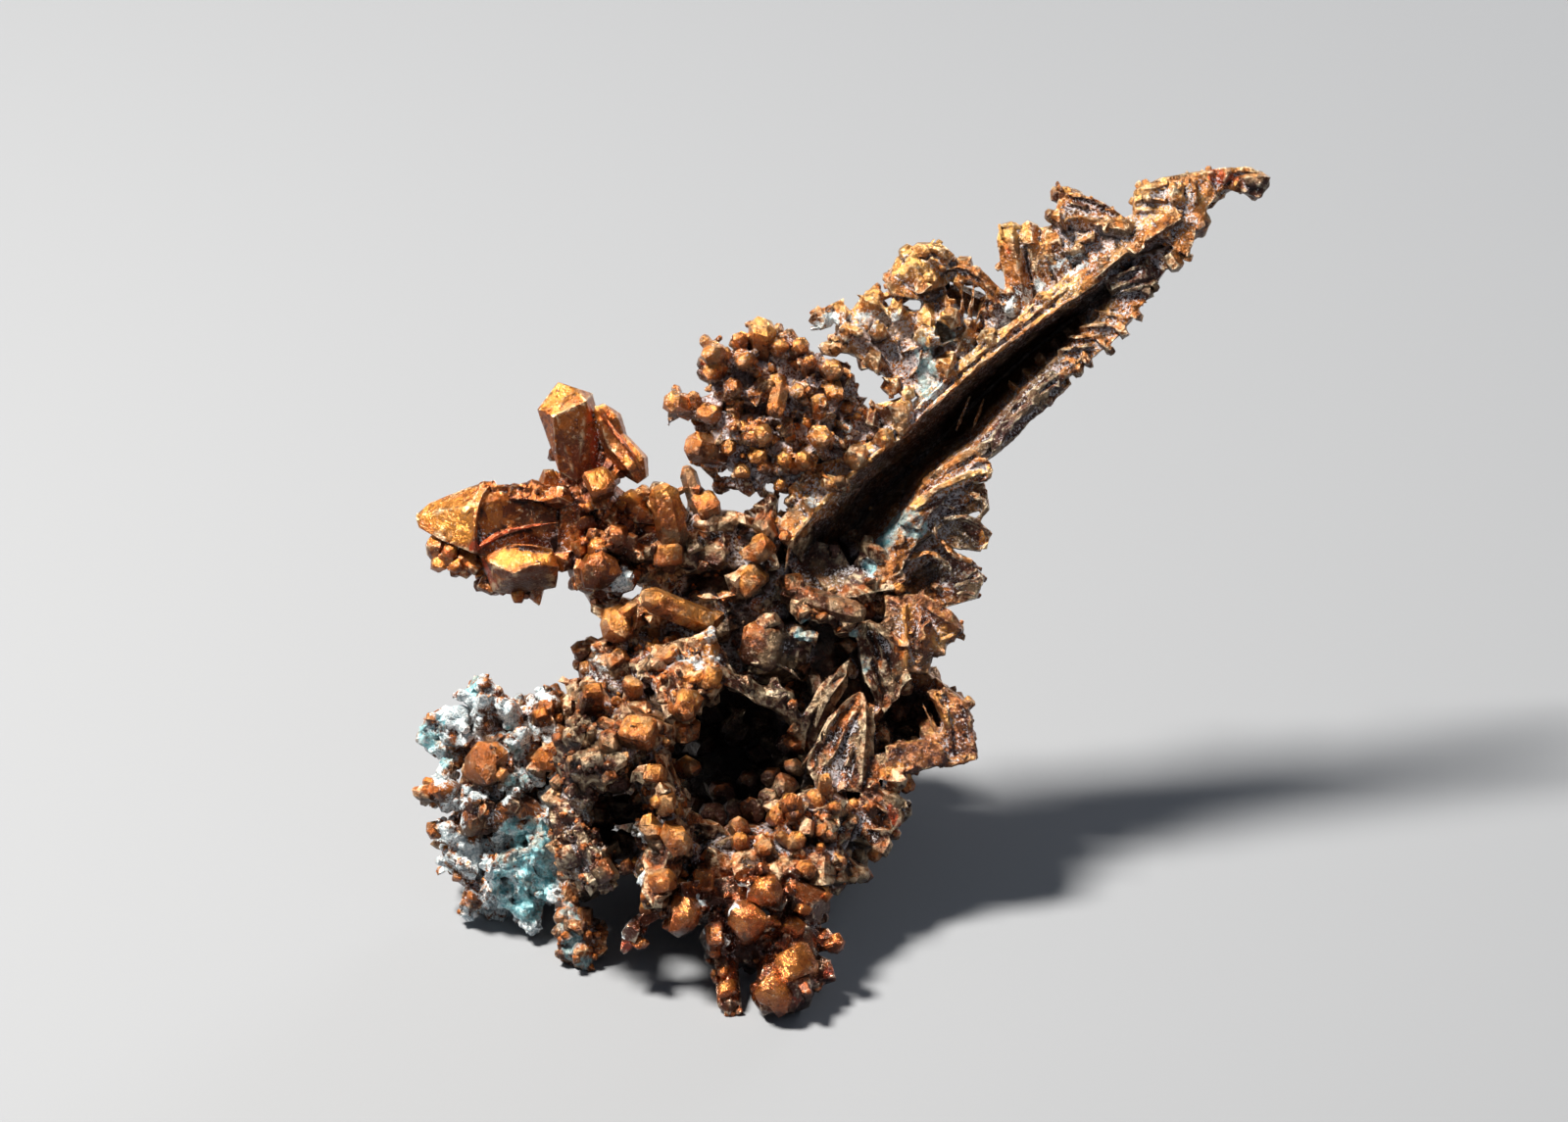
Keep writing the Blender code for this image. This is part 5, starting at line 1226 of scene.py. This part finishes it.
# thickness, then each place it runs through
SPIRE_STRANDS = table("""
# the ridge's lower edge and the grain along its band
0.34, 7.7 36.8 1.25, 10.4 39.4 1.3, 14 42.3 1.3, 18 45.1 1.2, 20.6 46.8 0.9
0.3, 8 37.8 1.2, 10 39.8 1.25, 13.5 42.6 1.25, 17.6 45.6 1.1, 20 47.4 0.8
0.3, 8.6 39 1, 11.6 41.6 1.1, 15.2 44.3 1, 18.6 47 0.8
0.4, 0.4 29.8 1.2, 1.6 31.4 1.3, 3.4 33.3 1.3, 5.3 35.1 1.3, 7.4 36.4 1.3
# the rim: twisted strands below, a comb above
0.42, 13.2 35.3 0.5, 13.9 36.5 0.7, 15.2 38 0.6, 16.8 39.4 0.7, 18.2 40.6 0.5
0.36, 12.9 36 0.4, 14.2 37.2 0.7, 15.6 38.8 0.8, 16.9 40.2 0.7, 18.3 41 0.5
0.3, 13.3 36.9 0.3, 14.6 37.3 0.8, 15.8 38.6 0.9, 16.4 39.8 0.6, 16.6 40.4 0.2
0.3, 11 34.6 0.3, 12.6 35.4 0.6, 13.6 36.6 0.6, 14.6 38.2 0.4
0.45, 17.4 41.4 0, 18.2 41.2 0.7, 19.5 41.4 0.3
0.42, 17.4 42 0.1, 18.6 42.2 0.8, 19.9 42.4 0.3
0.38, 18 42.8 0.1, 19.2 43 0.8, 20.5 42.8 0.3
0.38, 18.8 43.4 0.1, 20 43.9 0.7, 21.2 43.4 0.3
0.34, 19.8 44.6 0, 20.9 44.3 0.6, 21.9 44 0.2
0.36, 16.2 40.4 0.2, 17.2 40.2 0.8, 18.4 40.7 0.4
# the fins' rims and creases
0.5, 8.3 31.8 0.5, 9.4 33 0.9, 10.5 33.5 1, 11.7 34.1 0.9, 12.8 34.3 0.6
0.45, 12 34.9 0.5, 12.8 35.1 0.7, 13.2 34.4 0.7, 12.9 33.7 0.5, 12.1 33.6 0.4
0.45, 11.4 33.1 0.4, 12.3 32.8 0.6, 12.9 32.2 0.5, 12.8 31.6 0.3, 12.3 31.2 0.1
0.4, 10.2 31.2 0.2, 11.3 31.5 0.5, 12.1 31.2 0.4, 12.8 30.7 0.2, 13.1 30 0, 12.7 29.3 -0.2
0.4, 9.8 30.2 -0.2, 10.4 29.4 0.2, 11 28.8 0.2, 11.9 28.6 0, 12.6 28 -0.3
0.4, 7.7 28.4 -0.6, 8.4 29 -0.1, 9.5 29.1 0, 10.4 28.4 -0.2, 10.8 27.6 -0.4
0.36, 10.9 27 -0.4, 11.8 27.4 -0.1, 12.5 27.2 -0.4
0.36, 11 26.5 -0.6, 11.8 26.7 -0.3, 12.4 26.3 -0.6
0.3, 9.2 32.2 0.2, 10.3 32.3 0.5, 11 31.8 0.4
0.3, 10.6 30.8 -0.1, 11.6 30.3 0.2, 12.2 29.7 0
0.3, 9.6 31.4 0, 9.5 30.4 0.3, 9.9 29.8 0.2
# golden blades inside the channel
0.34, 11 36.9 -1, 11.4 37.9 -1.2, 11.9 39.2 -1.2
0.34, 12 36.8 -0.8, 12.3 37.8 -1, 12.8 39 -1
0.26, 10.8 34.6 -1.2, 11.4 35.1 -1
0.26, 10.3 35.2 -1.4, 10.8 35.6 -1.2
# wires and the arch of the upper lobes
0.5, 9.9 47 0.8, 11 47.4 1, 12.2 46.9 0.9, 13.2 46 0.9, 14 44.8 0.8
2.2, 10.4 45.8 -0.9, 12 45.2 -0.9, 13.4 44.4 -0.8
0.5, 11 47.4 0.9, 11.5 45.8 0.7, 11.3 44 0.5
0.5, 13.2 46 0.8, 12.6 45 0.7, 12.3 43.8 0.5
0.46, 12.2 46.8 0.8, 12 45.4 0.7, 11.8 43.8 0.5
0.34, 12.8 44.2 0.4, 12.7 43.6 0.5, 13.4 43.2 0.5
0.5, 6.8 46 0.9, 7.6 47.4 1.3, 8.7 48.4 1.4, 9.9 48.5 1.3, 10.4 47.8 1.2
0.4, 6.6 45.9 0.8, 7.8 45.6 1.2, 8.6 45.2 1.1
0.4, 8.4 46.6 1.2, 9.2 46.7 1.4, 10 46 1.2
0.4, 4.6 45.5 0.7, 5.6 45.4 1, 6.4 44.8 1.1, 6.8 43.9 1.1
0.3, 7.1 42.8 0.8, 7.3 42 1.1, 7.6 41.4 0.8
0.26, 8.9 42.4 0.9, 8.6 41.7 1.2, 8.7 41.1 1, 8 40.3 0.8
0.26, 9.4 42.6 0.9, 9.2 41.8 1.2, 9.5 41.6 0.9
0.34, 6.9 44 1, 6.9 43.2 1.2, 7.1 42.4 1
0.34, 10.2 45.6 0.8, 9.8 44.6 1.2, 10 43.8 1.1
0.4, 10 42.3 0.9, 11.2 42.8 1.1, 12.2 43.4 0.8
0.36, 3 44.9 0.6, 4 44.2 1, 4.2 43.2 1
# edges of the prisms and the roof-shaped wedge
0.3, 13.7 49.9 0.5, 14.5 50.1 0.7, 15.1 49.9 0.5, 15.2 48.4 0.6, 15 46.6 0.6
0.3, 15.4 49.3 0.4, 16.2 48.8 0.7, 17 47.8 0.8, 17.7 46.8 0.7
0.3, 16.3 49.8 0.3, 17.5 49.7 0.6, 18.6 48.6 0.6, 19.4 47.4 0.6
0.34, 17.3 50.3 1, 18.6 50.6 1.3, 20.2 50.2 1.4, 21.9 49.8 1
0.3, 17.7 52 0.8, 19.2 51.8 0.9, 20.8 51.1 0.9, 22.1 50.1 0.8
0.3, 17.6 49.6 0.8, 18.8 49.4 1, 20.2 48.8 0.8
0.26, 18.2 51.4 0.9, 19.4 51.1 1, 20.8 50.5 1
# the dark block below the tip, and the comb of the tip itself
0.4, 20.4 46.4 0.4, 21.6 46.9 0.8, 22.9 47.5 0.6
0.36, 20.9 45.9 0.5, 22 46.4 0.8, 23.4 46.8 0.7
0.36, 21.4 45.7 0.5, 22.6 46 0.8, 23.9 46.4 0.6
0.34, 22.4 50.2 0.7, 24.2 50.3 0.9, 26.2 50 0.6
0.36, 22.3 50.9 0.6, 23.8 51 1, 25.4 50.8 0.8
0.34, 22.4 51.6 0.7, 23.6 51.7 1, 24.8 51.4 0.8
0.34, 22.6 52.3 0.6, 23.7 52.2 0.9, 24.4 52.7 0.7
0.36, 25.1 53 0.6, 25.5 52.2 1, 25.2 51.4 0.9
0.36, 25.9 53.1 0.6, 26.4 52.3 1, 26.2 51.3 0.8
0.34, 26.6 53.3 0.5, 27.2 52.6 0.9, 27.6 51.8 0.6
0.4, 27.2 53.3 0.4, 28.6 53.4 0.7, 29.8 53.6 0.5, 30.6 53 0.4, 30.9 52.4 0.2
0.34, 28.4 52.5 0.4, 29.5 52.2 0.6, 30.5 51.9 0.3
0.3, 25.2 49.6 0.5, 25.8 48.9 0.7, 25.4 48.2 0.4
""")
CLEAN = CHANNEL + BAND + RIM + FINS
spire = bare_branch("spire")
spire_buds = sow(spire, ["cube", "prism", "blade"], 0.16, (0.25, 0.6), 31, None, CLEAN, lean=0.6)
melt(spire, [spire_buds, strands(SPIRE_STRANDS)], 0.11)
spire_places = on_face(points_of(spire.data))
lobe_group = weigh(spire, "lobes", strength(spire_places, LOBES))
drawn_group = weigh(spire, "drawn", strength(spire_places, RIM + FINS))
band_group = weigh(spire, "band", strength(spire_places, BAND))
roughen(spire, "VORONOI_F2_F1", 1.8, 0.35, lobe_group, middle=0.4, depth=0)
striate(spire, (0.72, 0.69, 0.0), 0.22, 0.22, band_group)
striate(spire, (0.8, 0.5, 0.1), 0.3, 0.3, drawn_group)
roughen(spire, "IMPROVED_PERLIN", 0.8, 0.2)
facet(spire, 16000)
roughen(spire, "IMPROVED_PERLIN", 0.28, 0.13)
spire_hollow = hollow(spire.data)
spire_crystals = [
    sow(spire, ["pebble", "cube", "blade"], 0.3, (0.15, 0.4), 33, None, CLEAN, clump=1.6),
    sow(
        spire, ["crumb", "nub", "blade"], 5.0, (0.07, 0.16), 32, None, CLEAN,
        clump=1.4, lean=0.8, liking=spire_hollow,
    ),
]
finish_branch(spire, spire_crystals, "spire", "ridge_copper", 165000, 0.47)

# %% [markdown]
# ## The crusted lobe
#
# This lobe was the side that water reached: copper carbonates and silicates grew over it as a
# chalky, pale blue crust, thick in the hollows and rubbed off the knobs. Deep creases come from a
# cell pattern, the crust's grains are thousands of tiny crumbs in the hollows, and a few crystals
# stand out of it bare. The crust itself is only in the finish, since it is thinner than its grains.

# %% The crusted lobe
# kind, place, direction, radius length tone
LOBE_CRYSTALS = table("""
pebble, -19 15.6, -0.3 0.1 1, 1.5 2.6 0.55
prism, -15.5 15.9, 0.4 -0.2 1, 0.7 1.8 0.6
cube, -15.5 18.8, 0.1 0.4 1, 0.5 1.2 0.65
cube, -13.6 20.7, 0 0.6 1, 0.8 1.6 0.7
pebble, -16.4 12.6, 0.2 0 1, 1.2 2 0.3
pebble, -19.8 12, -0.4 -0.2 1, 1 1.8 0.35
pebble, -20.6 18.8, -0.5 0.6 0.8, 0.7 1.6 0.6
cube, -19 21.8, 0 1 0.3, 0.6 1.6 0.7
pebble, -21.6 14, -1 0 0.5, 0.8 1.8 0.5
cube, -17.6 9.6, -0.2 -0.4 1, 0.6 1.4 0.55
pebble, -14.4 11, 0.3 -0.2 1, 0.7 1.6 0.3
prism, -16.6 20.4, 0.1 0.8 0.8, 0.5 1.6 0.5
""")
lobe = bare_branch("crusted_lobe")
melt(lobe, [sow(lobe, ["pebble", "cube"], 1.0, (0.25, 0.7), 43, clump=1.6, lean=0.8)], 0.12)
roughen(lobe, "VORONOI_F2_F1", 1.5, 0.6, middle=0.35, depth=0)
facet(lobe, 10000)
roughen(lobe, "IMPROVED_PERLIN", 0.3, 0.2)
lobe_hollow = hollow(lobe.data, 60, 0.35)
lobe_crystals = [
    plant(lobe, LOBE_CRYSTALS, 44),
    sow(lobe, ["cube", "prism", "pebble"], 0.5, (0.2, 0.5), 41, lean=0.5, liking=1 - lobe_hollow),
    sow(lobe, ["crumb", "blade", "nub"], 12.0, (0.06, 0.15), 42, clump=1.2, lean=0.8, liking=lobe_hollow),
]
finish_branch(lobe, lobe_crystals, "crusted_lobe", "crusted_copper", 120000, 0.4)

# %% [markdown]
# ## The side wing
#
# The wing is a torn, folded sheet. Its edges are rolled over and catch the light, so each one gets a
# strand; the sheet between them is only roughened, with crumbs where it is sunk.
# The rolled edges are also painted paler, a painted highlight.

# %% The side wing
# thickness, then each place it runs through
WING_STRANDS = table("""
0.4, 7.7 25.8 0.4, 7.8 23.6 0.7, 7.8 21.8 0.5
0.36, 10.3 25.3 0.3, 11.4 24.2 0.5, 10.6 23.7 0.4, 9.4 23.2 0.4
0.36, 9.2 20.3 0.9, 10 19.4 1.2, 10.4 18.6 1.2, 10.6 17.6 1.1, 10.7 16.6 1
0.36, 9.2 17.2 0.8, 9.4 16.2 1.1, 9.9 15.6 1, 11 15.6 1, 12.3 16 0.9
0.36, 10.9 20.1 0.8, 11.8 19.2 1, 11.9 17.6 1, 12.3 16.2 0.9
0.36, 7.2 14.9 1.4, 8.2 15.4 1.8, 9.2 15.9 1.4
0.3, 8.6 25.8 0.2, 8.8 24.2 0.5, 8.6 22.6 0.5
0.3, 9.6 22.8 0.4, 10.1 22.6 0.6, 9.7 22.4 0.3
0.3, 8.8 19.6 0, 9.3 18.4 0.6, 9.9 17.2 0.7
""")
wing = bare_branch("side_wing")
melt(wing, [sow(wing, ["blade", "cube"], 0.3, (0.2, 0.4), 51, lean=0.5), strands(WING_STRANDS)], 0.1)
roughen(wing, "IMPROVED_PERLIN", 0.8, 0.3)
facet(wing, 5500)
roughen(wing, "IMPROVED_PERLIN", 0.28, 0.12)
wing_hollow = hollow(wing.data)
wing_crumbs = sow(wing, ["crumb", "blade"], 5.0, (0.07, 0.16), 52, clump=1.2, liking=wing_hollow)
finish_branch(wing, [wing_crumbs], "side_wing", "torn_copper", 80000, 0.46)

# %% [markdown]
# ## The front foot
#
# The foot is a handful of glossy, rounded crystals that stand apart from each other, with pale dust
# and black gaps between them. The skin below is kept dark and plain, and the crystals are planted
# one by one, so that each reads as a dome of its own. It has the glossiest mix of the finish: this
# is where the nugget was handled and stood on.
# The black of the gaps is painted shade, laid on as dark strokes.

# %% The front foot
# kind, place, direction, radius length tone
FOOT_CRYSTALS = table("""
pebble, -6.3 6.2, -0.1 0.5 1, 1.3 2.6 0.85
pebble, -2.3 5.8, 0.1 0.4 1, 1.35 2.6 0.8
pebble, -1.2 7.7, 0.8 -0.3 1, 1.1 2.6 0.7
cube, -4.4 4.8, -0.2 0.2 1, 0.7 1.6 0.8
cube, -5 8.3, -0.2 0.4 1, 0.8 1.6 0.8
cube, 0.7 2.9, 0.1 0.5 1, 1.4 2.6 0.95
pebble, -0.6 1.3, -0.2 -0.3 1, 1.3 2.2 0.6
cube, -9.4 4.2, -0.6 0 1, 0.7 1.6 0.6
pebble, 3.2 4.4, 0.5 0.2 1, 0.7 1.4 0.7
pebble, -3.6 1.6, -0.4 -0.6 1, 0.6 1.8 0.5
cube, 0.6 5.4, 0.2 0.4 1, 0.7 1.4 0.75
""")
foot = bare_branch("front_foot")
melt(foot, [sow(foot, ["cube", "pebble"], 0.15, (0.3, 0.5), 61)], 0.1)
facet(foot, 3800)
roughen(foot, "IMPROVED_PERLIN", 0.3, 0.09)
foot_hollow = hollow(foot.data)
foot_crystals = [
    plant(foot, FOOT_CRYSTALS, 63),
    sow(foot, ["pebble", "cube"], 0.6, (0.2, 0.5), 64, clump=1.6),
    sow(foot, ["crumb", "cube"], 8.0, (0.07, 0.18), 62, clump=1.6, liking=foot_hollow),
]
finish_branch(foot, foot_crystals, "front_foot", "foot_copper", 70000, 0.24)

# %% [markdown]
# ## The body
#
# The body has the most kinds of growth side by side: knobs in front, striated leaves on the right, a
# scaly plate below them, crumbly brown masses at the left, and the dark cave in the middle with the
# floor of the trough above it. Each kind is a region with its own treatment, by a vertex group for
# what is displaced and by a stroke for what is sown. The leaves are drawn metal, so their grain is
# stretched along them and nothing grows on them. Inside the cave the crystals are few, dark and
# large, because small ones would only be lost in its shadow.
# The cave and the crystals in it are also painted dark, as painted shade.

# %% The body
LEAVES = table("""
1.6 1, 3.4 21.6 0.6, 1.4 17 0.8
2.2 1, 4.6 19.6 1, 3.4 15 1
1.8 1, 5.8 24 0.4, 6.2 20.4 0.4
""")
SCALE = table("1.7 1, 6 12.4 1.2")
FLOOR_OF_CHANNEL = table("2.8 1, 1.6 28.6 -1, 3.6 31.6 -1.4")
CAVE = table("5.2 0.9, -3.4 17.4 -3.4, -2.6 14.2 -3.4")
FRONT = table("22 1, -3 20 12")
CRUMBLY = table("""
3.2 1, -12.4 18.4 5, -11.6 12 6.6, -11.6 5.6 7
2 0.8, -5 24 2.4, -5.4 20.4 4
""")
PIT = table("1.5 1, -10.4 13 6, -10.2 10 6")
KNOBBY = table("1.9 1, 0.4 13.2 3.4, 3.4 12.6 3, 3 9.6 3.4, -1 9.8 4.4")
# thickness, then each place it runs through
BODY_STRANDS = table("""
# the mass behind the gap low in front
2.6, -12.8 10.6 3.4, -9.8 10.6 2.6, -6.6 10 3.6
2.4, -12.8 12.8 2.4, -10.6 12.8 2, -8.4 12.6 2.6
# leaves: lit edges and ribs
0.5, 4.4 22.5 0.4, 3 21.1 1.1, 1.9 19.6 1.4, 1.2 18.2 1.4, 1.2 16.4 0.9
0.4, 4 21.4 0.8, 2.9 20.3 1.3, 2.2 19 1.4, 2 17.8 1.2
0.46, 4.9 20.2 1.3, 3.9 19.6 1.6, 3.1 18.6 1.6, 2.5 17.4 1.5, 1.8 16.3 1.3, 1 15.2 1
0.32, 4.6 19.4 1.4, 3.9 18 1.7, 3.3 16.4 1.6, 2.6 15.4 1.4
0.32, 4.8 18.8 1.4, 4.3 17.2 1.7, 4 15.4 1.6
0.42, 5.1 20.2 1.2, 5.2 18 1.8, 5.1 16 1.9, 4.9 14.2 1.6
0.36, 5.5 19.6 1, 5.7 17.8 1.5, 5.6 15.6 1.5
0.4, 5.1 24.8 0.6, 6.2 24.3 0.9, 7 23 0.8
0.3, 5 24.2 0.6, 5.8 22.6 0.9, 6.6 20.4 0.8
0.3, 5.5 24.3 0.7, 6.3 22.8 0.9, 7 20.4 0.7
0.3, 5.2 23 0.6, 5.6 21.6 0.9, 6.2 19.5 0.8
0.36, 6.9 21 0.4, 7.4 20.2 0.7, 7.1 19.5 0.5
# round the cave's mouth, and the crumpled ledges above it
1.3, -5.6 22.6 2.6, -4 21.4 2.8, -2.2 20.3 2.4, -0.6 19.7 1.9, 0.7 18.6 1.2, 1 17.4 0.8
0.5, -2.4 23.4 1, -1.2 22.2 1.6, 0.4 21.8 1.5, 1.2 20.8 1
0.5, -2 25.6 0.8, -0.6 25.2 1.2, 0.2 24 1.2, -0.4 23 1.2
0.46, 0.4 23.6 0.8, 1.4 24.2 1.3, 2.2 23.6 1.2, 1.9 22.6 0.9
0.5, 0.6 25.8 1.4, 2 25.4 1.7, 3.2 24.8 1.6, 4.4 25.2 1.2
0.4, 1.2 26.4 1.2, 2.6 26 1.5, 4 25.7 1.3
0.5, -5.6 26.4 1.2, -4 26 1.8, -2.6 26.6 1.4
0.44, -0.2 26.6 0.6, 1 27.4 0.9, 2.6 27 0.6
0.4, 0 27.6 0.6, 0.3 28.8 1, 0.2 29.8 1.1
# the scaly plate low on the right
0.4, 5.2 14.4 1.4, 6.4 14.1 1.7, 7.2 13 1.6, 7.3 11.9 1.4, 6.6 10.9 1.4, 5.8 10.6 1.4
0.34, 5 13.6 1.6, 5.6 12.8 1.8, 6.4 12.9 1.8, 6.8 12.2 1.7
0.34, 5.2 11.4 1.6, 6 11.6 1.8, 6.5 11.2 1.7
""")
# kind, place, direction, radius length tone
BODY_CRYSTALS = table("""
prism, -7.3 31.2, -0.1 1 0.5, 1 3 0.8
pebble, -10.6 24.5, -0.2 0.1 1, 1.2 2.2 0.7
prism, -6.6 25.4, -1 0.15 0.5, 0.9 3.6 0.75
cube, -7.4 28.9, 0 0.2 1, 1 2 0.65
pebble, -1.6 29.3, 0 0.2 1, 1.1 2 0.72
cube, -2.1 27.4, -0.1 0 1, 1 2 0.8
cube, -4.5 29.4, -0.3 0.5 1, 1.3 1.4 0.1
cube, -5 32.2, 0 0.6 1, 0.9 1.4 0.6
prism, -5.7 32.8, -0.4 1 0.4, 0.7 2.4 0.6
cube, -9.3 31.7, -0.2 0.5 1, 0.7 1.6 0.8
cube, -12.2 19.8, 0 0.9 0.7, 0.8 2.4 0.5
pebble, -9.6 20.5, 0 0.5 1, 0.8 1.8 0.65
pebble, -6.3 19.4, 0.1 0.2 1, 1.1 2 0.62
cube, -9.2 17.8, -0.1 0.6 1, 1.2 1.8 0.68
pebble, -4.6 24.7, -0.1 0.6 1, 0.9 1.8 0.85
pebble, -4.8 22.8, -0.1 0.2 1, 0.8 1.8 0.8
pebble, -4.6 21.2, 0 0 1, 0.8 1.6 0.8
cube, -1.3 23.1, -0.4 0.2 1, 1.5 2.4 0.2
pebble, -7.5 13.4, 0.1 -0.3 1, 0.8 2.4 0.7
cube, -8.2 15.1, 0 0.2 1, 0.7 1.6 0.85
prism, -6.8 11.1, 0.3 -0.2 1, 0.95 2 0.72
pebble, -7.6 8.4, 0 -0.6 1, 0.9 2 0.6
pebble, -8.4 11.6, -0.3 0 1, 0.9 1.8 0.6
pebble, -10.4 14.8, -0.2 0 1, 1.1 2 0.4
pebble, -12 12.6, -0.4 0 1, 1 1.8 0.45
cube, -11.4 9, -0.2 -0.2 1, 0.8 1.6 0.6
pebble, -11 17, -0.4 0.3 1, 0.9 1.8 0.5
pebble, -7.4 22.6, -0.1 0.2 1, 0.9 1.6 0.6
cube, -10.6 22.3, -0.3 0.3 1, 0.7 1.6 0.6
pebble, -8.4 24, 0 -0.2 1, 0.6 1.4 0.7
pebble, -0.3 12.4, -0.3 0.2 1, 0.9 1.8 0.65
pebble, 2 13.4, 0 0.2 1, 0.8 1.6 0.6
nub, 0.8 10.8, 0 0 1, 0.8 1.8 0.6
nub, 2.8 11.2, 0.2 0.1 1, 0.7 1.6 0.7
nub, 1.4 9, 0 -0.1 1, 0.8 1.8 0.6
nub, 3.4 9.4, 0.3 0 1, 0.7 1.6 0.55
nub, -1.2 10.4, -0.1 0.1 1, 0.8 1.8 0.6
nub, -2.8 10.8, -0.1 0.2 1, 0.7 1.6 0.5
nub, 4.4 13, 0.2 0.2 1, 0.6 1.4 0.7
nub, 3.2 12.9, 0 0.2 1, 0.6 1.4 0.6
nub, 0.6 12.6, 0 0.1 1, 0.6 1.4 0.5
nub, 2.2 7.6, 0.1 -0.2 1, 0.8 1.8 0.6
cube, 0.6 27, 0.3 0.2 1, 0.8 1.6 0.3
prism, 2.2 26, 1 -0.5 0.4, 0.8 4 0.2
pebble, -3 17.5, 0.2 0 1, 1 2.4 0.4
pebble, -5.4 16.8, 0.3 0 1, 0.9 2.6 0.4
pebble, -1.2 14.4, 0 0.2 1, 0.9 2.6 0.45
pebble, -3.8 13.8, 0.2 0.2 1, 0.9 2.8 0.4
cube, -1.6 16, 0.1 0.2 1, 0.8 2.8 0.4
cube, -4.8 18.9, 0.2 -0.3 1, 0.9 2.2 0.4
pebble, -5.6 13, 0.4 0.2 1, 0.8 2 0.5
cube, 0.3 16.8, -0.4 0 1, 0.7 2 0.35
pebble, -4.6 12.4 2.4, 0.1 0.5 1, 0.9 2 0.4
nub, -3.2 12.5 1.4, 0 0.6 1, 0.9 2.4 0.35
pebble, -2 12.7 2, 0 0.5 1, 0.9 2 0.5
nub, -1 13.4 2.4, -0.1 0.4 1, 0.8 2 0.55
pebble, 0 14.2 1.8, -0.3 0.3 1, 0.9 2 0.5
nub, -0.8 14.7 0.4, -0.2 0.2 1, 0.8 2.4 0.35
nub, 0.7 15.4 0.9, -0.5 0.2 1, 0.7 2 0.45
pebble, -4 13.8 -0.2, 0.1 0.4 1, 0.9 2.4 0.3
nub, -2.2 14.4 -0.6, 0 0.3 1, 0.9 2.6 0.3
pebble, 0.9 17 0.4, -0.6 0 0.8, 0.8 2 0.4
nub, -6.2 15.4 2.6, 0.6 0.1 0.8, 0.8 2.4 0.35
cube, -6.4 17.8 2.2, 0.6 -0.1 0.8, 0.9 2.4 0.45
nub, 0.4 13.2 4.9, 0 0.3 1, 0.8 1.6 0.65
nub, -2.9 11.6 4.6, 0 0.5 1, 0.8 1.8 0.55
""")
BARE = LEAVES + SCALE + FLOOR_OF_CHANNEL
body = bare_branch("body")
body_buds = [
    sow(body, ["pebble", "cube", "prism"], 0.22, (0.35, 0.8), 71, None, BARE + CAVE, lean=0.6),
    sow(body, ["nub", "pebble"], 1.4, (0.25, 0.5), 74, KNOBBY, LEAVES, lean=0.4, long=1.2),
    strands(BODY_STRANDS),
]
melt(body, body_buds, 0.13)
body_places = on_face(points_of(body.data))
leaf_group = weigh(body, "leaves", strength(body_places, LEAVES))
scale_group = weigh(body, "scale", strength(body_places, SCALE))
front_group = weigh(body, "front", 1 - strength(body_places, BARE))
roughen(body, "VORONOI_F2_F1", 1.5, 0.45, front_group, middle=0.35, depth=0)
striate(body, (0.35, 0.92, 0.1), 0.3, 0.36, leaf_group)
roughen(body, "VORONOI_F1", 0.55, 0.5, scale_group, middle=0.5, depth=1)
facet(body, 17000)
roughen(body, "IMPROVED_PERLIN", 0.28, 0.1)
body_hollow = hollow(body.data, reach=0.3)
body_crystals = [
    plant(body, BODY_CRYSTALS, 75),
    sow(
        body, ["pebble", "cube", "prism"], 0.35, (0.2, 0.55), 76, None, LEAVES + CAVE,
        clump=1.8, liking=1 - body_hollow,
    ),
    sow(body, ["crumb", "pebble"], 4.5, (0.12, 0.32), 73, CRUMBLY, PIT, lean=0.8, clump=1.0),
    sow(
        body, ["crumb", "nub", "cube"], 5.0, (0.08, 0.2), 72, FRONT, LEAVES + CAVE,
        clump=1.6, lean=0.8, liking=body_hollow,
    ),
]
finish_branch(body, body_crystals, "body", "brown_copper", 125000, 0.38)
